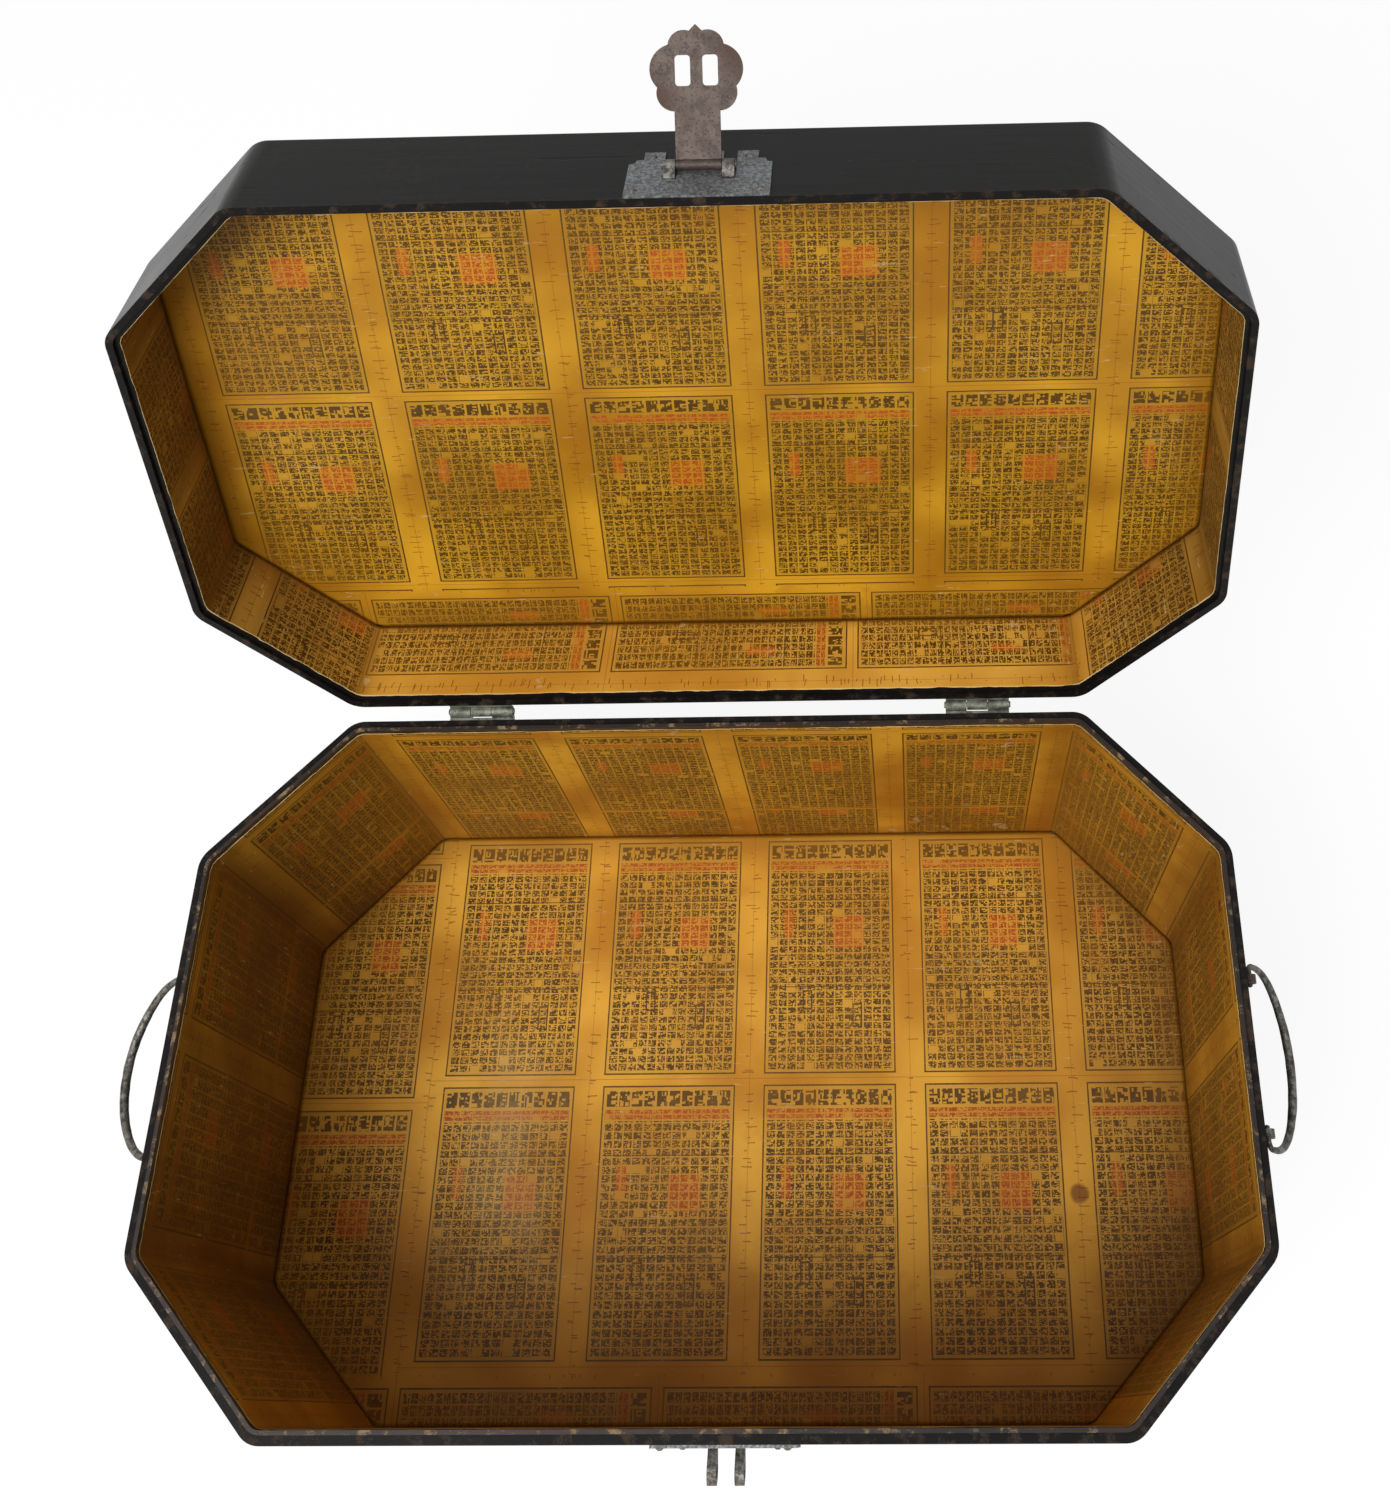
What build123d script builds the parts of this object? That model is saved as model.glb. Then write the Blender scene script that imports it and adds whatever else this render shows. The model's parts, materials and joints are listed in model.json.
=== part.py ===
from build123d import *
import math
import os

os.makedirs("parts", exist_ok=True)

# A travel trunk with eight sides: a deep base and a shallow lid, both papered inside.
# Millimetres, +Z up, the middle of the underside at the origin and the hinges towards +Y.
# The lid is made in its closed place and carried to the open one by its planes.

# The closed trunk
LENGTH = 640.0
WIDTH = 388.0
CORNER_CUT = 85.0
CORNER_ROUNDING = 16.0
BASE_HEIGHT = 262.0
LID_HEIGHT = 71.0
RIM_GAP = 0.4
LID_ANGLE = 112.4

# Boards, and the lip that the lid closes over
WALL = 7.0
FLOOR = 7.0
TOP = 7.0
TOP_ROUNDING = 2.5
LIP = 2.2
LIP_SEAT = 10.0
LIP_PROUD = 2.5
LIP_CLEARANCE = 0.5
LIP_HEADROOM = 0.6

# Paper lining
PAPER = 0.6
PAPER_BELOW_RIM = 2.0

# Sheet fittings and their nails
PLATE = 1.5
NAIL_SHANK = 0.9
NAIL_LENGTH = 6.0
NAIL_HEAD = 2.3
NAIL_HEAD_TOP = 1.0
NAIL_HEAD_HEIGHT = 1.1

# Butt hinges on the back
HINGE_PLACES = {"left": -153.0, "right": 168.0}
HINGE_WIDTH = 40.5
HINGE_OUT = 5.5
HINGE_BARREL = 3.3
HINGE_PIN = 1.5
HINGE_PIN_CLEARANCE = 0.05
HINGE_KNUCKLE_GAP = 0.4
HINGE_LEAF_HEIGHT = 46.0
HINGE_LEAF_LOBE = 12.0
HINGE_WEB_DROP = 9.0
HINGE_NAIL_SIDE = 6.0
HINGE_NAIL_BELOW_WEB = 7.0
HINGE_NAIL_BEFORE_LOBE = 4.0
PIN_HEAD = 2.3
PIN_HEAD_HEIGHT = 1.0

# Hasp, hung from two lugs on the front of the lid; its outline's points are shares of the
# head's half width and height
HASP_X = 17.5
HASP_LENGTH = 74.7
HASP_THICKNESS = 2.2
HASP_STRAP_WIDTH = 24.4
HASP_STRAP_LENGTH = 28.5
HASP_HEAD_WIDTH = 49.6
HASP_SWING = 120.0
HASP_PIN_UP = 25.0
HASP_PIN_OUT = 5.0
HASP_KNUCKLE = 3.1
HASP_PIN = 1.5
HASP_PIN_CLEARANCE = 0.05
HASP_LOWER_LOBE = (0.82, 0.11)
HASP_LOWER_NOTCH = (0.85, 0.28)
HASP_SIDE_LOBE = (1.0, 0.53)
HASP_UPPER_NOTCH = (0.6, 0.77)
HASP_UPPER_LOBE = (0.46, 0.9)
HASP_CUSP = (0.14, 0.925)
SLOT_WIDTH = 8.4
SLOT_HEIGHT = 16.4
SLOT_ROUNDING = 2.0
SLOT_SPACING = 14.8
SLOT_DISTANCE = 50.2
LUG_WIDTH = 6.5
LUG_SIDE_GAP = 0.4
LUG_FOOT_HEIGHT = 16.0
LUG_FOOT_THICKNESS = 2.0
LUG_SHANK = 2.2

# Plates behind the hasp, on the lid and on the base
PLATE_WIDTH = 77.6
PLATE_NECK_WIDTH = 62.0
LID_PLATE_HEIGHT = 43.5
BASE_PLATE_HEIGHT = 50.0
PLATE_RIM_GAP = 0.5
NOTCH_GAP = 0.5
PLATE_NAIL_INSET = 5.0

# Two eyes on the base that pass through the slots and hold the bar of a padlock
EYE_THICKNESS = 5.0
EYE_BORE = 3.5
EYE_WALL = 2.9
EYE_SHANK = 2.4
BAR_CLEARANCE = 2.2

# Bail handles on the two ends
HANDLE_HEIGHT = 205.0
HANDLE_SPAN = 102.0
HANDLE_REACH = 48.0
HANDLE_GRIP = 3.0
HANDLE_END = 1.8
HANDLE_BEND = 5.0
HANDLE_TAPER = 4.0
HANDLE_SHOULDER = 31.0
HANDLE_DROP = {"left": 32.0, "right": 57.0}
POST_SPACING = 86.0
POST_OUT = 11.0
POST_THICKNESS = 5.0
POST_RADIUS = 4.2
POST_SHANK = 2.2
POST_COLLAR = 5.5
POST_COLLAR_HEIGHT = 1.5
HANDLE_CLEARANCE = 0.08

# Places worked out from the sizes above
RIM = BASE_HEIGHT + RIM_GAP
LID_TOP = BASE_HEIGHT + LID_HEIGHT
HINGE_Y = WIDTH / 2 + HINGE_OUT
HINGE_Z = BASE_HEIGHT + RIM_GAP / 2
REBATE_WIDTH = LIP + LIP_CLEARANCE
REBATE_HEIGHT = LIP_PROUD - RIM_GAP + LIP_HEADROOM

OPENING = (
    Location((0, HINGE_Y, HINGE_Z), (-LID_ANGLE, 0, 0))
    * Location((0, -HINGE_Y, -HINGE_Z))
)


def opened(plane):
    """The plane carried with the lid from its closed place to the open one."""
    return Plane(OPENING * plane.location)


def tilted(face, place, angle):
    """The plane at a place on a face, turned about the line along the face by an angle."""
    return Plane(face.location * Location(place, (angle, 0, 0)))


def side_view(face, along):
    """The plane across a face at a distance along it: x runs up the face and y outwards."""
    return Plane(origin=face.from_local_coords((along, 0, 0)), x_dir=face.y_dir, z_dir=face.x_dir)


def on_face(face, points, height):
    """Locations on a face at the given points, lifted off it by a height."""
    return [face.location * Location((x, y, height)) for x, y in points]


# Outer faces of the walls: x along the wall, y up, z outwards
BASE_FACES = {
    "front": Plane(origin=(0, -WIDTH / 2, 0), x_dir=(1, 0, 0), z_dir=(0, -1, 0)),
    "back": Plane(origin=(0, WIDTH / 2, 0), x_dir=(-1, 0, 0), z_dir=(0, 1, 0)),
    "left": Plane(origin=(-LENGTH / 2, 0, 0), x_dir=(0, -1, 0), z_dir=(-1, 0, 0)),
    "right": Plane(origin=(LENGTH / 2, 0, 0), x_dir=(0, 1, 0), z_dir=(1, 0, 0)),
}
LID_FRONT = opened(BASE_FACES["front"])
LID_BACK = opened(BASE_FACES["back"])

# The eight walls in order round the plan, each from one corner of the octagon to the next
SIDES = ["right", "back_right", "back", "back_left", "left", "front_left", "front", "front_right"]


def octagon(inset):
    """The corners of the plan, drawn in from the outside of the walls by an inset."""
    a = LENGTH / 2 - inset
    b = WIDTH / 2 - inset
    c = CORNER_CUT - inset * (2 - math.sqrt(2))
    return [
        (a, c - b), (a, b - c), (a - c, b), (c - a, b),
        (-a, b - c), (-a, c - b), (c - a, -b), (a - c, -b),
    ]


def plan(inset):
    """The plan drawn in by an inset, with its corners rounded about the same centres."""
    with BuildSketch() as whole:
        with BuildLine():
            Polyline(*octagon(inset), close=True)
        make_face()
        fillet(whole.vertices(), CORNER_ROUNDING - inset)
    return whole.sketch


def wall(side, outer, inner):
    """One wall in plan between two insets, mitred at both ends."""
    after = (side + 1) % len(SIDES)
    near, far = octagon(outer - WALL), octagon(inner + WALL)
    with BuildSketch() as section:
        add(plan(outer))
        add(plan(inner), mode=Mode.SUBTRACT)
        with BuildLine():
            Polyline(near[side], near[after], far[after], far[side], close=True)
        make_face(mode=Mode.INTERSECT)
    return section.sketch


def save(piece, name):
    """Label a finished piece and write it out."""
    piece.part.label = name
    export_step(piece.part, f"parts/{name}.step")


# Where nails, shanks and pins go, on the face that carries them
HINGE_NAILS_ACROSS = HINGE_WIDTH / 2 - HINGE_NAIL_SIDE
HINGE_NAIL_ROW = HINGE_LEAF_HEIGHT - HINGE_LEAF_LOBE - HINGE_NAIL_BEFORE_LOBE
HINGE_NAIL_UPPER = HINGE_WEB_DROP + HINGE_NAIL_BELOW_WEB


def hinge_nail_points(x, rim, away):
    """Three nail places on a hinge leaf, away from the rim up (1) or down (-1) the back."""
    return [
        (-x - HINGE_NAILS_ACROSS, rim + away * HINGE_NAIL_UPPER),
        (-x + HINGE_NAILS_ACROSS, rim + away * HINGE_NAIL_UPPER),
        (-x, rim + away * HINGE_NAIL_ROW),
    ]


def plate_nail_points(rim, height, away):
    """Four nail places near the corners of a plate behind the hasp."""
    low = rim + away * (PLATE_RIM_GAP + PLATE_NAIL_INSET)
    high = rim + away * (PLATE_RIM_GAP + height - PLATE_NAIL_INSET)
    wide = PLATE_WIDTH / 2 - PLATE_NAIL_INSET
    narrow = PLATE_NECK_WIDTH / 2 - PLATE_NAIL_INSET
    return [
        (HASP_X - wide, low), (HASP_X + wide, low),
        (HASP_X - narrow, high), (HASP_X + narrow, high),
    ]


BASE_PLATE_NAILS = on_face(
    BASE_FACES["front"], plate_nail_points(BASE_HEIGHT, BASE_PLATE_HEIGHT, -1), PLATE)
LID_PLATE_NAILS = on_face(LID_FRONT, plate_nail_points(RIM, LID_PLATE_HEIGHT, 1), PLATE)
BASE_HINGE_NAILS = [
    place
    for x in HINGE_PLACES.values()
    for place in on_face(BASE_FACES["back"], hinge_nail_points(x, BASE_HEIGHT, -1), PLATE)
]
LID_HINGE_NAILS = [
    place
    for x in HINGE_PLACES.values()
    for place in on_face(LID_BACK, hinge_nail_points(x, RIM, 1), PLATE)
]

EYE_UP = RIM + HASP_PIN_UP - SLOT_DISTANCE
EYE_OUT = HASP_PIN_OUT + HASP_THICKNESS / 2 + BAR_CLEARANCE + EYE_BORE
EYE_PLACES = on_face(
    BASE_FACES["front"],
    [(HASP_X - SLOT_SPACING / 2, EYE_UP), (HASP_X + SLOT_SPACING / 2, EYE_UP)], 0)
POST_PLACES = {
    end: on_face(
        BASE_FACES[end],
        [(-POST_SPACING / 2, HANDLE_HEIGHT), (POST_SPACING / 2, HANDLE_HEIGHT)], 0)
    for end in ("left", "right")
}

# The lugs stand each side of the hasp's knuckle, in notches of the plate
LUG_X = [HASP_X + flip * (HASP_STRAP_WIDTH / 2 + LUG_SIDE_GAP + LUG_WIDTH / 2) for flip in (-1, 1)]
LUG_OUTSIDE = HASP_STRAP_WIDTH / 2 + LUG_SIDE_GAP + LUG_WIDTH
HASP_PIN_PLACE = (RIM + HASP_PIN_UP, HASP_PIN_OUT)
LUG_PLACES = on_face(LID_FRONT, [(x, HASP_PIN_PLACE[0]) for x in LUG_X], 0)
NOTCH_WIDTH = LUG_WIDTH + 2 * NOTCH_GAP
NOTCH_FOOT = HASP_PIN_PLACE[0] - LUG_FOOT_HEIGHT / 2 - NOTCH_GAP

# Holes in the boards for nails and for shanks, by wall
NAIL_HOLES = {"front": BASE_PLATE_NAILS, "back": BASE_HINGE_NAILS}
SHANK_HOLES = {
    "front": (EYE_PLACES, EYE_SHANK),
    "left": (POST_PLACES["left"], POST_SHANK),
    "right": (POST_PLACES["right"], POST_SHANK),
}
LID_NAIL_HOLES = {"front": LID_PLATE_NAILS, "back": LID_HINGE_NAILS}
INWARDS = (Align.CENTER, Align.CENTER, Align.MAX)
OUTWARDS = (Align.CENTER, Align.CENTER, Align.MIN)

# Base walls: mitred boards with a rebate along the top inner edge for the lip
for side, name in enumerate(SIDES):
    with BuildPart() as board:
        with BuildSketch(Plane.XY):
            add(wall(side, 0, WALL))
        extrude(amount=BASE_HEIGHT - LIP_SEAT)
        with BuildSketch(Plane.XY.offset(BASE_HEIGHT - LIP_SEAT)):
            add(wall(side, 0, WALL - LIP))
        extrude(amount=LIP_SEAT)
        if name in NAIL_HOLES:
            with Locations(*NAIL_HOLES[name]):
                Cylinder(NAIL_SHANK, NAIL_LENGTH, align=INWARDS, mode=Mode.SUBTRACT)
        if name in SHANK_HOLES:
            with Locations(*SHANK_HOLES[name][0]):
                Cylinder(SHANK_HOLES[name][1], 2 * WALL, mode=Mode.SUBTRACT)
    save(board, f"base_{name}_board")

# Base lip: eight mitred strips seated in the rebate, standing proud of the rim
with BuildPart() as base_lip:
    for side in range(len(SIDES)):
        with BuildSketch(Plane.XY.offset(BASE_HEIGHT - LIP_SEAT)):
            add(wall(side, WALL - LIP, WALL))
    extrude(amount=LIP_SEAT + LIP_PROUD)
save(base_lip, "base_lip")

# Floor board, between the walls
with BuildPart() as base_floor_board:
    with BuildSketch(Plane.XY):
        add(plan(WALL))
    extrude(amount=FLOOR)
save(base_floor_board, "base_floor_board")

# Paper on the floor and on the walls of the base
with BuildPart() as base_floor_paper:
    with BuildSketch(Plane.XY.offset(FLOOR)):
        add(plan(WALL))
    extrude(amount=PAPER)
save(base_floor_paper, "base_floor_paper")

with BuildPart() as base_wall_paper:
    with BuildSketch(Plane.XY.offset(FLOOR + PAPER)):
        add(plan(WALL))
        add(plan(WALL + PAPER), mode=Mode.SUBTRACT)
    extrude(amount=BASE_HEIGHT - PAPER_BELOW_RIM - FLOOR - PAPER)
save(base_wall_paper, "base_wall_paper")

# Lid walls: the rebate is along the lower inner edge and takes the lip
for side, name in enumerate(SIDES):
    with BuildPart() as board:
        with BuildSketch(opened(Plane.XY.offset(RIM))):
            add(wall(side, 0, WALL - REBATE_WIDTH))
        extrude(amount=REBATE_HEIGHT)
        with BuildSketch(opened(Plane.XY.offset(RIM + REBATE_HEIGHT))):
            add(wall(side, 0, WALL))
        extrude(amount=LID_TOP - TOP - RIM - REBATE_HEIGHT)
        if name in LID_NAIL_HOLES:
            with Locations(*LID_NAIL_HOLES[name]):
                Cylinder(NAIL_SHANK, NAIL_LENGTH, align=INWARDS, mode=Mode.SUBTRACT)
        if name == "front":
            with Locations(*LUG_PLACES):
                Cylinder(LUG_SHANK, 2 * WALL, mode=Mode.SUBTRACT)
    save(board, f"lid_{name}_board")

# Lid top, laid over the walls, with its outer edge rounded
with BuildPart() as lid_top_board:
    with BuildSketch(opened(Plane.XY.offset(LID_TOP - TOP))):
        add(plan(0))
    extrude(amount=TOP)
    top_face = lid_top_board.faces().sort_by(Axis(opened(Plane.XY).origin, opened(Plane.XY).z_dir))[-1]
    fillet(top_face.edges(), TOP_ROUNDING)
save(lid_top_board, "lid_top_board")

# Paper in the lid
with BuildPart() as lid_top_paper:
    with BuildSketch(opened(Plane.XY.offset(LID_TOP - TOP - PAPER))):
        add(plan(WALL))
    extrude(amount=PAPER)
save(lid_top_paper, "lid_top_paper")

with BuildPart() as lid_wall_paper:
    with BuildSketch(opened(Plane.XY.offset(RIM + REBATE_HEIGHT))):
        add(plan(WALL))
        add(plan(WALL + PAPER), mode=Mode.SUBTRACT)
    extrude(amount=LID_TOP - TOP - PAPER - RIM - REBATE_HEIGHT)
save(lid_wall_paper, "lid_wall_paper")


def nails(places, name):
    """Rose-headed nails, each with its shank driven inwards from a place on a plate."""
    with BuildPart() as group:
        with Locations(*places):
            Cylinder(NAIL_SHANK, NAIL_LENGTH, align=INWARDS)
            Cone(NAIL_HEAD, NAIL_HEAD_TOP, NAIL_HEAD_HEIGHT, align=OUTWARDS)
    save(group, name)


def hinge_leaf(face, x, rim, away, knuckles, nail_places, name):
    """A hinge leaf on the back: a lobed plate, its rolled knuckles and the webs that join them."""
    width = HINGE_WIDTH / 2
    straight = HINGE_LEAF_HEIGHT - HINGE_LEAF_LOBE
    barrel = (rim - away * RIM_GAP / 2, HINGE_OUT)
    with BuildPart() as leaf:
        with BuildSketch(face):
            with BuildLine():
                start = (width - x, rim)
                side = (width - x, rim + away * straight)
                shoulder = (width / 2 - x, rim + away * straight)
                tip = (-x, rim + away * HINGE_LEAF_HEIGHT)
                Polyline(start, side, shoulder)
                ThreePointArc(
                    shoulder,
                    (-x + width / 2 * math.sqrt(0.5),
                     rim + away * (straight + HINGE_LEAF_LOBE * math.sqrt(0.5))),
                    tip)
                mirror(about=Plane(origin=(-x, 0, 0), z_dir=(1, 0, 0)))
                Line((width - x, rim), (-width - x, rim))
            make_face()
        extrude(amount=PLATE)
        for left, right in knuckles:
            with BuildSketch(side_view(face, left - x)):
                with Locations(barrel):
                    Circle(HINGE_BARREL)
                with Locations((rim + away * HINGE_WEB_DROP, PLATE / 2)):
                    Rectangle(PLATE, PLATE)
                make_hull()
            extrude(amount=right - left)
        with BuildSketch(side_view(face, -width - x)):
            with Locations(barrel):
                Circle(HINGE_PIN if away < 0 else HINGE_PIN + HINGE_PIN_CLEARANCE)
        extrude(amount=HINGE_WIDTH, mode=Mode.SUBTRACT)
        with Locations(*nail_places):
            Cylinder(NAIL_SHANK, NAIL_LENGTH, align=INWARDS, mode=Mode.SUBTRACT)
    save(leaf, name)


# Hinges: two outer knuckles on the base, one between them on the lid, and a headed pin
third = HINGE_WIDTH / 3
outer_knuckles = [(-1.5 * third, -third / 2 - HINGE_KNUCKLE_GAP / 2),
                  (third / 2 + HINGE_KNUCKLE_GAP / 2, 1.5 * third)]
inner_knuckle = [(-third / 2 + HINGE_KNUCKLE_GAP / 2, third / 2 - HINGE_KNUCKLE_GAP / 2)]
for number, (end, x) in enumerate(HINGE_PLACES.items()):
    three = slice(3 * number, 3 * number + 3)
    hinge_leaf(BASE_FACES["back"], x, BASE_HEIGHT, -1, outer_knuckles,
               BASE_HINGE_NAILS[three], f"{end}_hinge_base_leaf")
    hinge_leaf(LID_BACK, x, RIM, 1, inner_knuckle,
               LID_HINGE_NAILS[three], f"{end}_hinge_lid_leaf")
    with BuildPart() as hinge_pin:
        with BuildSketch(Plane(origin=(x - HINGE_WIDTH / 2, HINGE_Y, HINGE_Z), z_dir=(1, 0, 0))):
            Circle(HINGE_PIN)
        extrude(amount=HINGE_WIDTH)
        for outward in (-1, 1):
            with BuildSketch(Plane(origin=(x + outward * HINGE_WIDTH / 2, HINGE_Y, HINGE_Z),
                                   z_dir=(outward, 0, 0))):
                Circle(PIN_HEAD)
            extrude(amount=PIN_HEAD_HEIGHT, taper=30)
    save(hinge_pin, f"{end}_hinge_pin")
nails(BASE_HINGE_NAILS, "base_hinge_nails")
nails(LID_HINGE_NAILS, "lid_hinge_nails")


def plate_edge(rim, away, height):
    """A plate behind the hasp: straight sides, then a cove and a step in to a narrower neck."""
    wide = PLATE_WIDTH / 2
    neck = PLATE_NECK_WIDTH / 2
    cove = (wide - neck) / 2
    near = rim + away * PLATE_RIM_GAP
    far = near + away * height
    shoulder = far - away * (wide - neck + cove)
    with BuildLine() as edge:
        Polyline((HASP_X, near), (HASP_X + wide, near), (HASP_X + wide, shoulder))
        ThreePointArc(
            (HASP_X + wide, shoulder),
            (HASP_X + wide - cove * math.sqrt(0.5), shoulder + away * cove * (1 - math.sqrt(0.5))),
            (HASP_X + wide - cove, shoulder + away * cove))
        Polyline(
            (HASP_X + wide - cove, shoulder + away * cove),
            (HASP_X + neck, shoulder + away * cove),
            (HASP_X + neck, far),
            (HASP_X, far))
        mirror(about=Plane(origin=(HASP_X, 0, 0), z_dir=(1, 0, 0)))
    return edge.edges()


# Plate on the front of the base, with a hole for the shank of each eye
with BuildPart() as base_lock_plate:
    with BuildSketch(BASE_FACES["front"]):
        make_face(plate_edge(BASE_HEIGHT, -1, BASE_PLATE_HEIGHT))
    extrude(amount=PLATE)
    with Locations(*EYE_PLACES):
        Cylinder(EYE_SHANK, 2 * WALL, mode=Mode.SUBTRACT)
    with Locations(*BASE_PLATE_NAILS):
        Cylinder(NAIL_SHANK, NAIL_LENGTH, align=INWARDS, mode=Mode.SUBTRACT)
save(base_lock_plate, "base_lock_plate")
nails(BASE_PLATE_NAILS, "base_lock_plate_nails")

# Plate on the front of the lid, notched round the two lugs
with BuildPart() as lid_lock_plate:
    with BuildSketch(LID_FRONT):
        make_face(plate_edge(RIM, 1, LID_PLATE_HEIGHT))
        with Locations(*[(x, NOTCH_FOOT) for x in LUG_X]):
            Rectangle(NOTCH_WIDTH, 2 * LID_PLATE_HEIGHT, align=(Align.CENTER, Align.MIN),
                      mode=Mode.SUBTRACT)
    extrude(amount=PLATE)
    with Locations(*LID_PLATE_NAILS):
        Cylinder(NAIL_SHANK, NAIL_LENGTH, align=INWARDS, mode=Mode.SUBTRACT)
save(lid_lock_plate, "lid_lock_plate")
nails(LID_PLATE_NAILS, "lid_lock_plate_nails")

# Two lugs in the notches that carry the hasp's pin
with BuildPart() as hasp_lugs:
    for x in LUG_X:
        with BuildSketch(side_view(LID_FRONT, x - LUG_WIDTH / 2)):
            with Locations(HASP_PIN_PLACE):
                Circle(HASP_KNUCKLE)
            with Locations((HASP_PIN_PLACE[0], LUG_FOOT_THICKNESS / 2)):
                Rectangle(LUG_FOOT_HEIGHT, LUG_FOOT_THICKNESS)
            make_hull()
        extrude(amount=LUG_WIDTH)
    with Locations(*LUG_PLACES):
        Cylinder(LUG_SHANK, WALL, align=INWARDS)
    with BuildSketch(side_view(LID_FRONT, HASP_X)):
        with Locations(HASP_PIN_PLACE):
            Circle(HASP_PIN)
    extrude(amount=PLATE_WIDTH / 2, both=True, mode=Mode.SUBTRACT)
save(hasp_lugs, "hasp_lugs")

with BuildPart() as hasp_pin:
    with BuildSketch(side_view(LID_FRONT, HASP_X)):
        with Locations(HASP_PIN_PLACE):
            Circle(HASP_PIN)
    extrude(amount=LUG_OUTSIDE, both=True)
    for outward in (-1, 1):
        end = side_view(LID_FRONT, HASP_X + outward * LUG_OUTSIDE)
        with BuildSketch(end):
            with Locations(HASP_PIN_PLACE):
                Circle(PIN_HEAD)
        extrude(amount=outward * PIN_HEAD_HEIGHT)
save(hasp_pin, "hasp_pin")

# Hasp: a strap from its knuckle to a cloud-shaped head with two slots, swung up and out
hasp_plane = tilted(LID_FRONT, (HASP_X, HASP_PIN_PLACE[0], HASP_PIN_OUT), 180 - HASP_SWING)
half_strap = HASP_STRAP_WIDTH / 2


def head_point(share):
    """A point of the head's outline from its shares of the half width and of the height."""
    return (
        share[0] * HASP_HEAD_WIDTH / 2,
        HASP_STRAP_LENGTH + share[1] * (HASP_LENGTH - HASP_STRAP_LENGTH),
    )


with BuildPart() as hasp:
    with BuildSketch(hasp_plane):
        with BuildLine():
            shoulder = (half_strap, HASP_STRAP_LENGTH)
            Polyline((0, 0), (half_strap, 0), shoulder)
            ThreePointArc(shoulder, head_point(HASP_LOWER_LOBE), head_point(HASP_LOWER_NOTCH))
            ThreePointArc(head_point(HASP_LOWER_NOTCH), head_point(HASP_SIDE_LOBE),
                          head_point(HASP_UPPER_NOTCH))
            ThreePointArc(head_point(HASP_UPPER_NOTCH), head_point(HASP_UPPER_LOBE),
                          head_point(HASP_CUSP))
            Line(head_point(HASP_CUSP), (0, HASP_LENGTH))
            mirror(about=Plane.YZ)
        make_face()
        with Locations((-SLOT_SPACING / 2, SLOT_DISTANCE), (SLOT_SPACING / 2, SLOT_DISTANCE)):
            RectangleRounded(SLOT_WIDTH, SLOT_HEIGHT, SLOT_ROUNDING, mode=Mode.SUBTRACT)
    extrude(amount=HASP_THICKNESS / 2, both=True)
    with BuildSketch(Plane(origin=hasp_plane.origin, z_dir=hasp_plane.x_dir)):
        Circle(HASP_KNUCKLE)
    extrude(amount=half_strap, both=True)
    with BuildSketch(Plane(origin=hasp_plane.origin, z_dir=hasp_plane.x_dir)):
        Circle(HASP_PIN + HASP_PIN_CLEARANCE)
    extrude(amount=half_strap, both=True, mode=Mode.SUBTRACT)
save(hasp, "hasp")

# Eyes for the padlock's bar: flat forged rings, each on a shank through plate and board
with BuildPart() as lock_eyes:
    for x in (HASP_X - SLOT_SPACING / 2, HASP_X + SLOT_SPACING / 2):
        with BuildSketch(side_view(BASE_FACES["front"], x - EYE_THICKNESS / 2)):
            with Locations((EYE_UP, EYE_OUT)):
                Circle(EYE_BORE + EYE_WALL)
            with Locations((EYE_UP, PLATE + EYE_WALL / 2)):
                Rectangle(2 * EYE_SHANK, EYE_WALL)
            make_hull()
            with Locations((EYE_UP, EYE_OUT)):
                Circle(EYE_BORE, mode=Mode.SUBTRACT)
        extrude(amount=EYE_THICKNESS)
    with Locations(*EYE_PLACES):
        with Locations((0, 0, PLATE)):
            Cylinder(EYE_SHANK, WALL + PLATE, align=INWARDS)
save(lock_eyes, "lock_eyes")


def handle_posts(end):
    """The two eyes that carry a bail handle, each with a collar and a shank in the board."""
    with BuildPart() as posts:
        with Locations(*POST_PLACES[end]):
            Cylinder(POST_SHANK, WALL, align=INWARDS)
            Cylinder(POST_COLLAR, POST_COLLAR_HEIGHT, align=OUTWARDS)
            Cylinder(POST_SHANK, POST_OUT, align=OUTWARDS)
        for y in (-POST_SPACING / 2, POST_SPACING / 2):
            with BuildSketch(side_view(BASE_FACES[end], y - POST_THICKNESS / 2)):
                with Locations((HANDLE_HEIGHT, POST_OUT)):
                    Circle(POST_RADIUS)
            extrude(amount=POST_THICKNESS)
            with BuildSketch(side_view(BASE_FACES[end], y - POST_THICKNESS)):
                with Locations((HANDLE_HEIGHT, POST_OUT)):
                    Circle(HANDLE_END + HANDLE_CLEARANCE)
            extrude(amount=2 * POST_THICKNESS, mode=Mode.SUBTRACT)
    save(posts, f"{end}_handle_posts")


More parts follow.
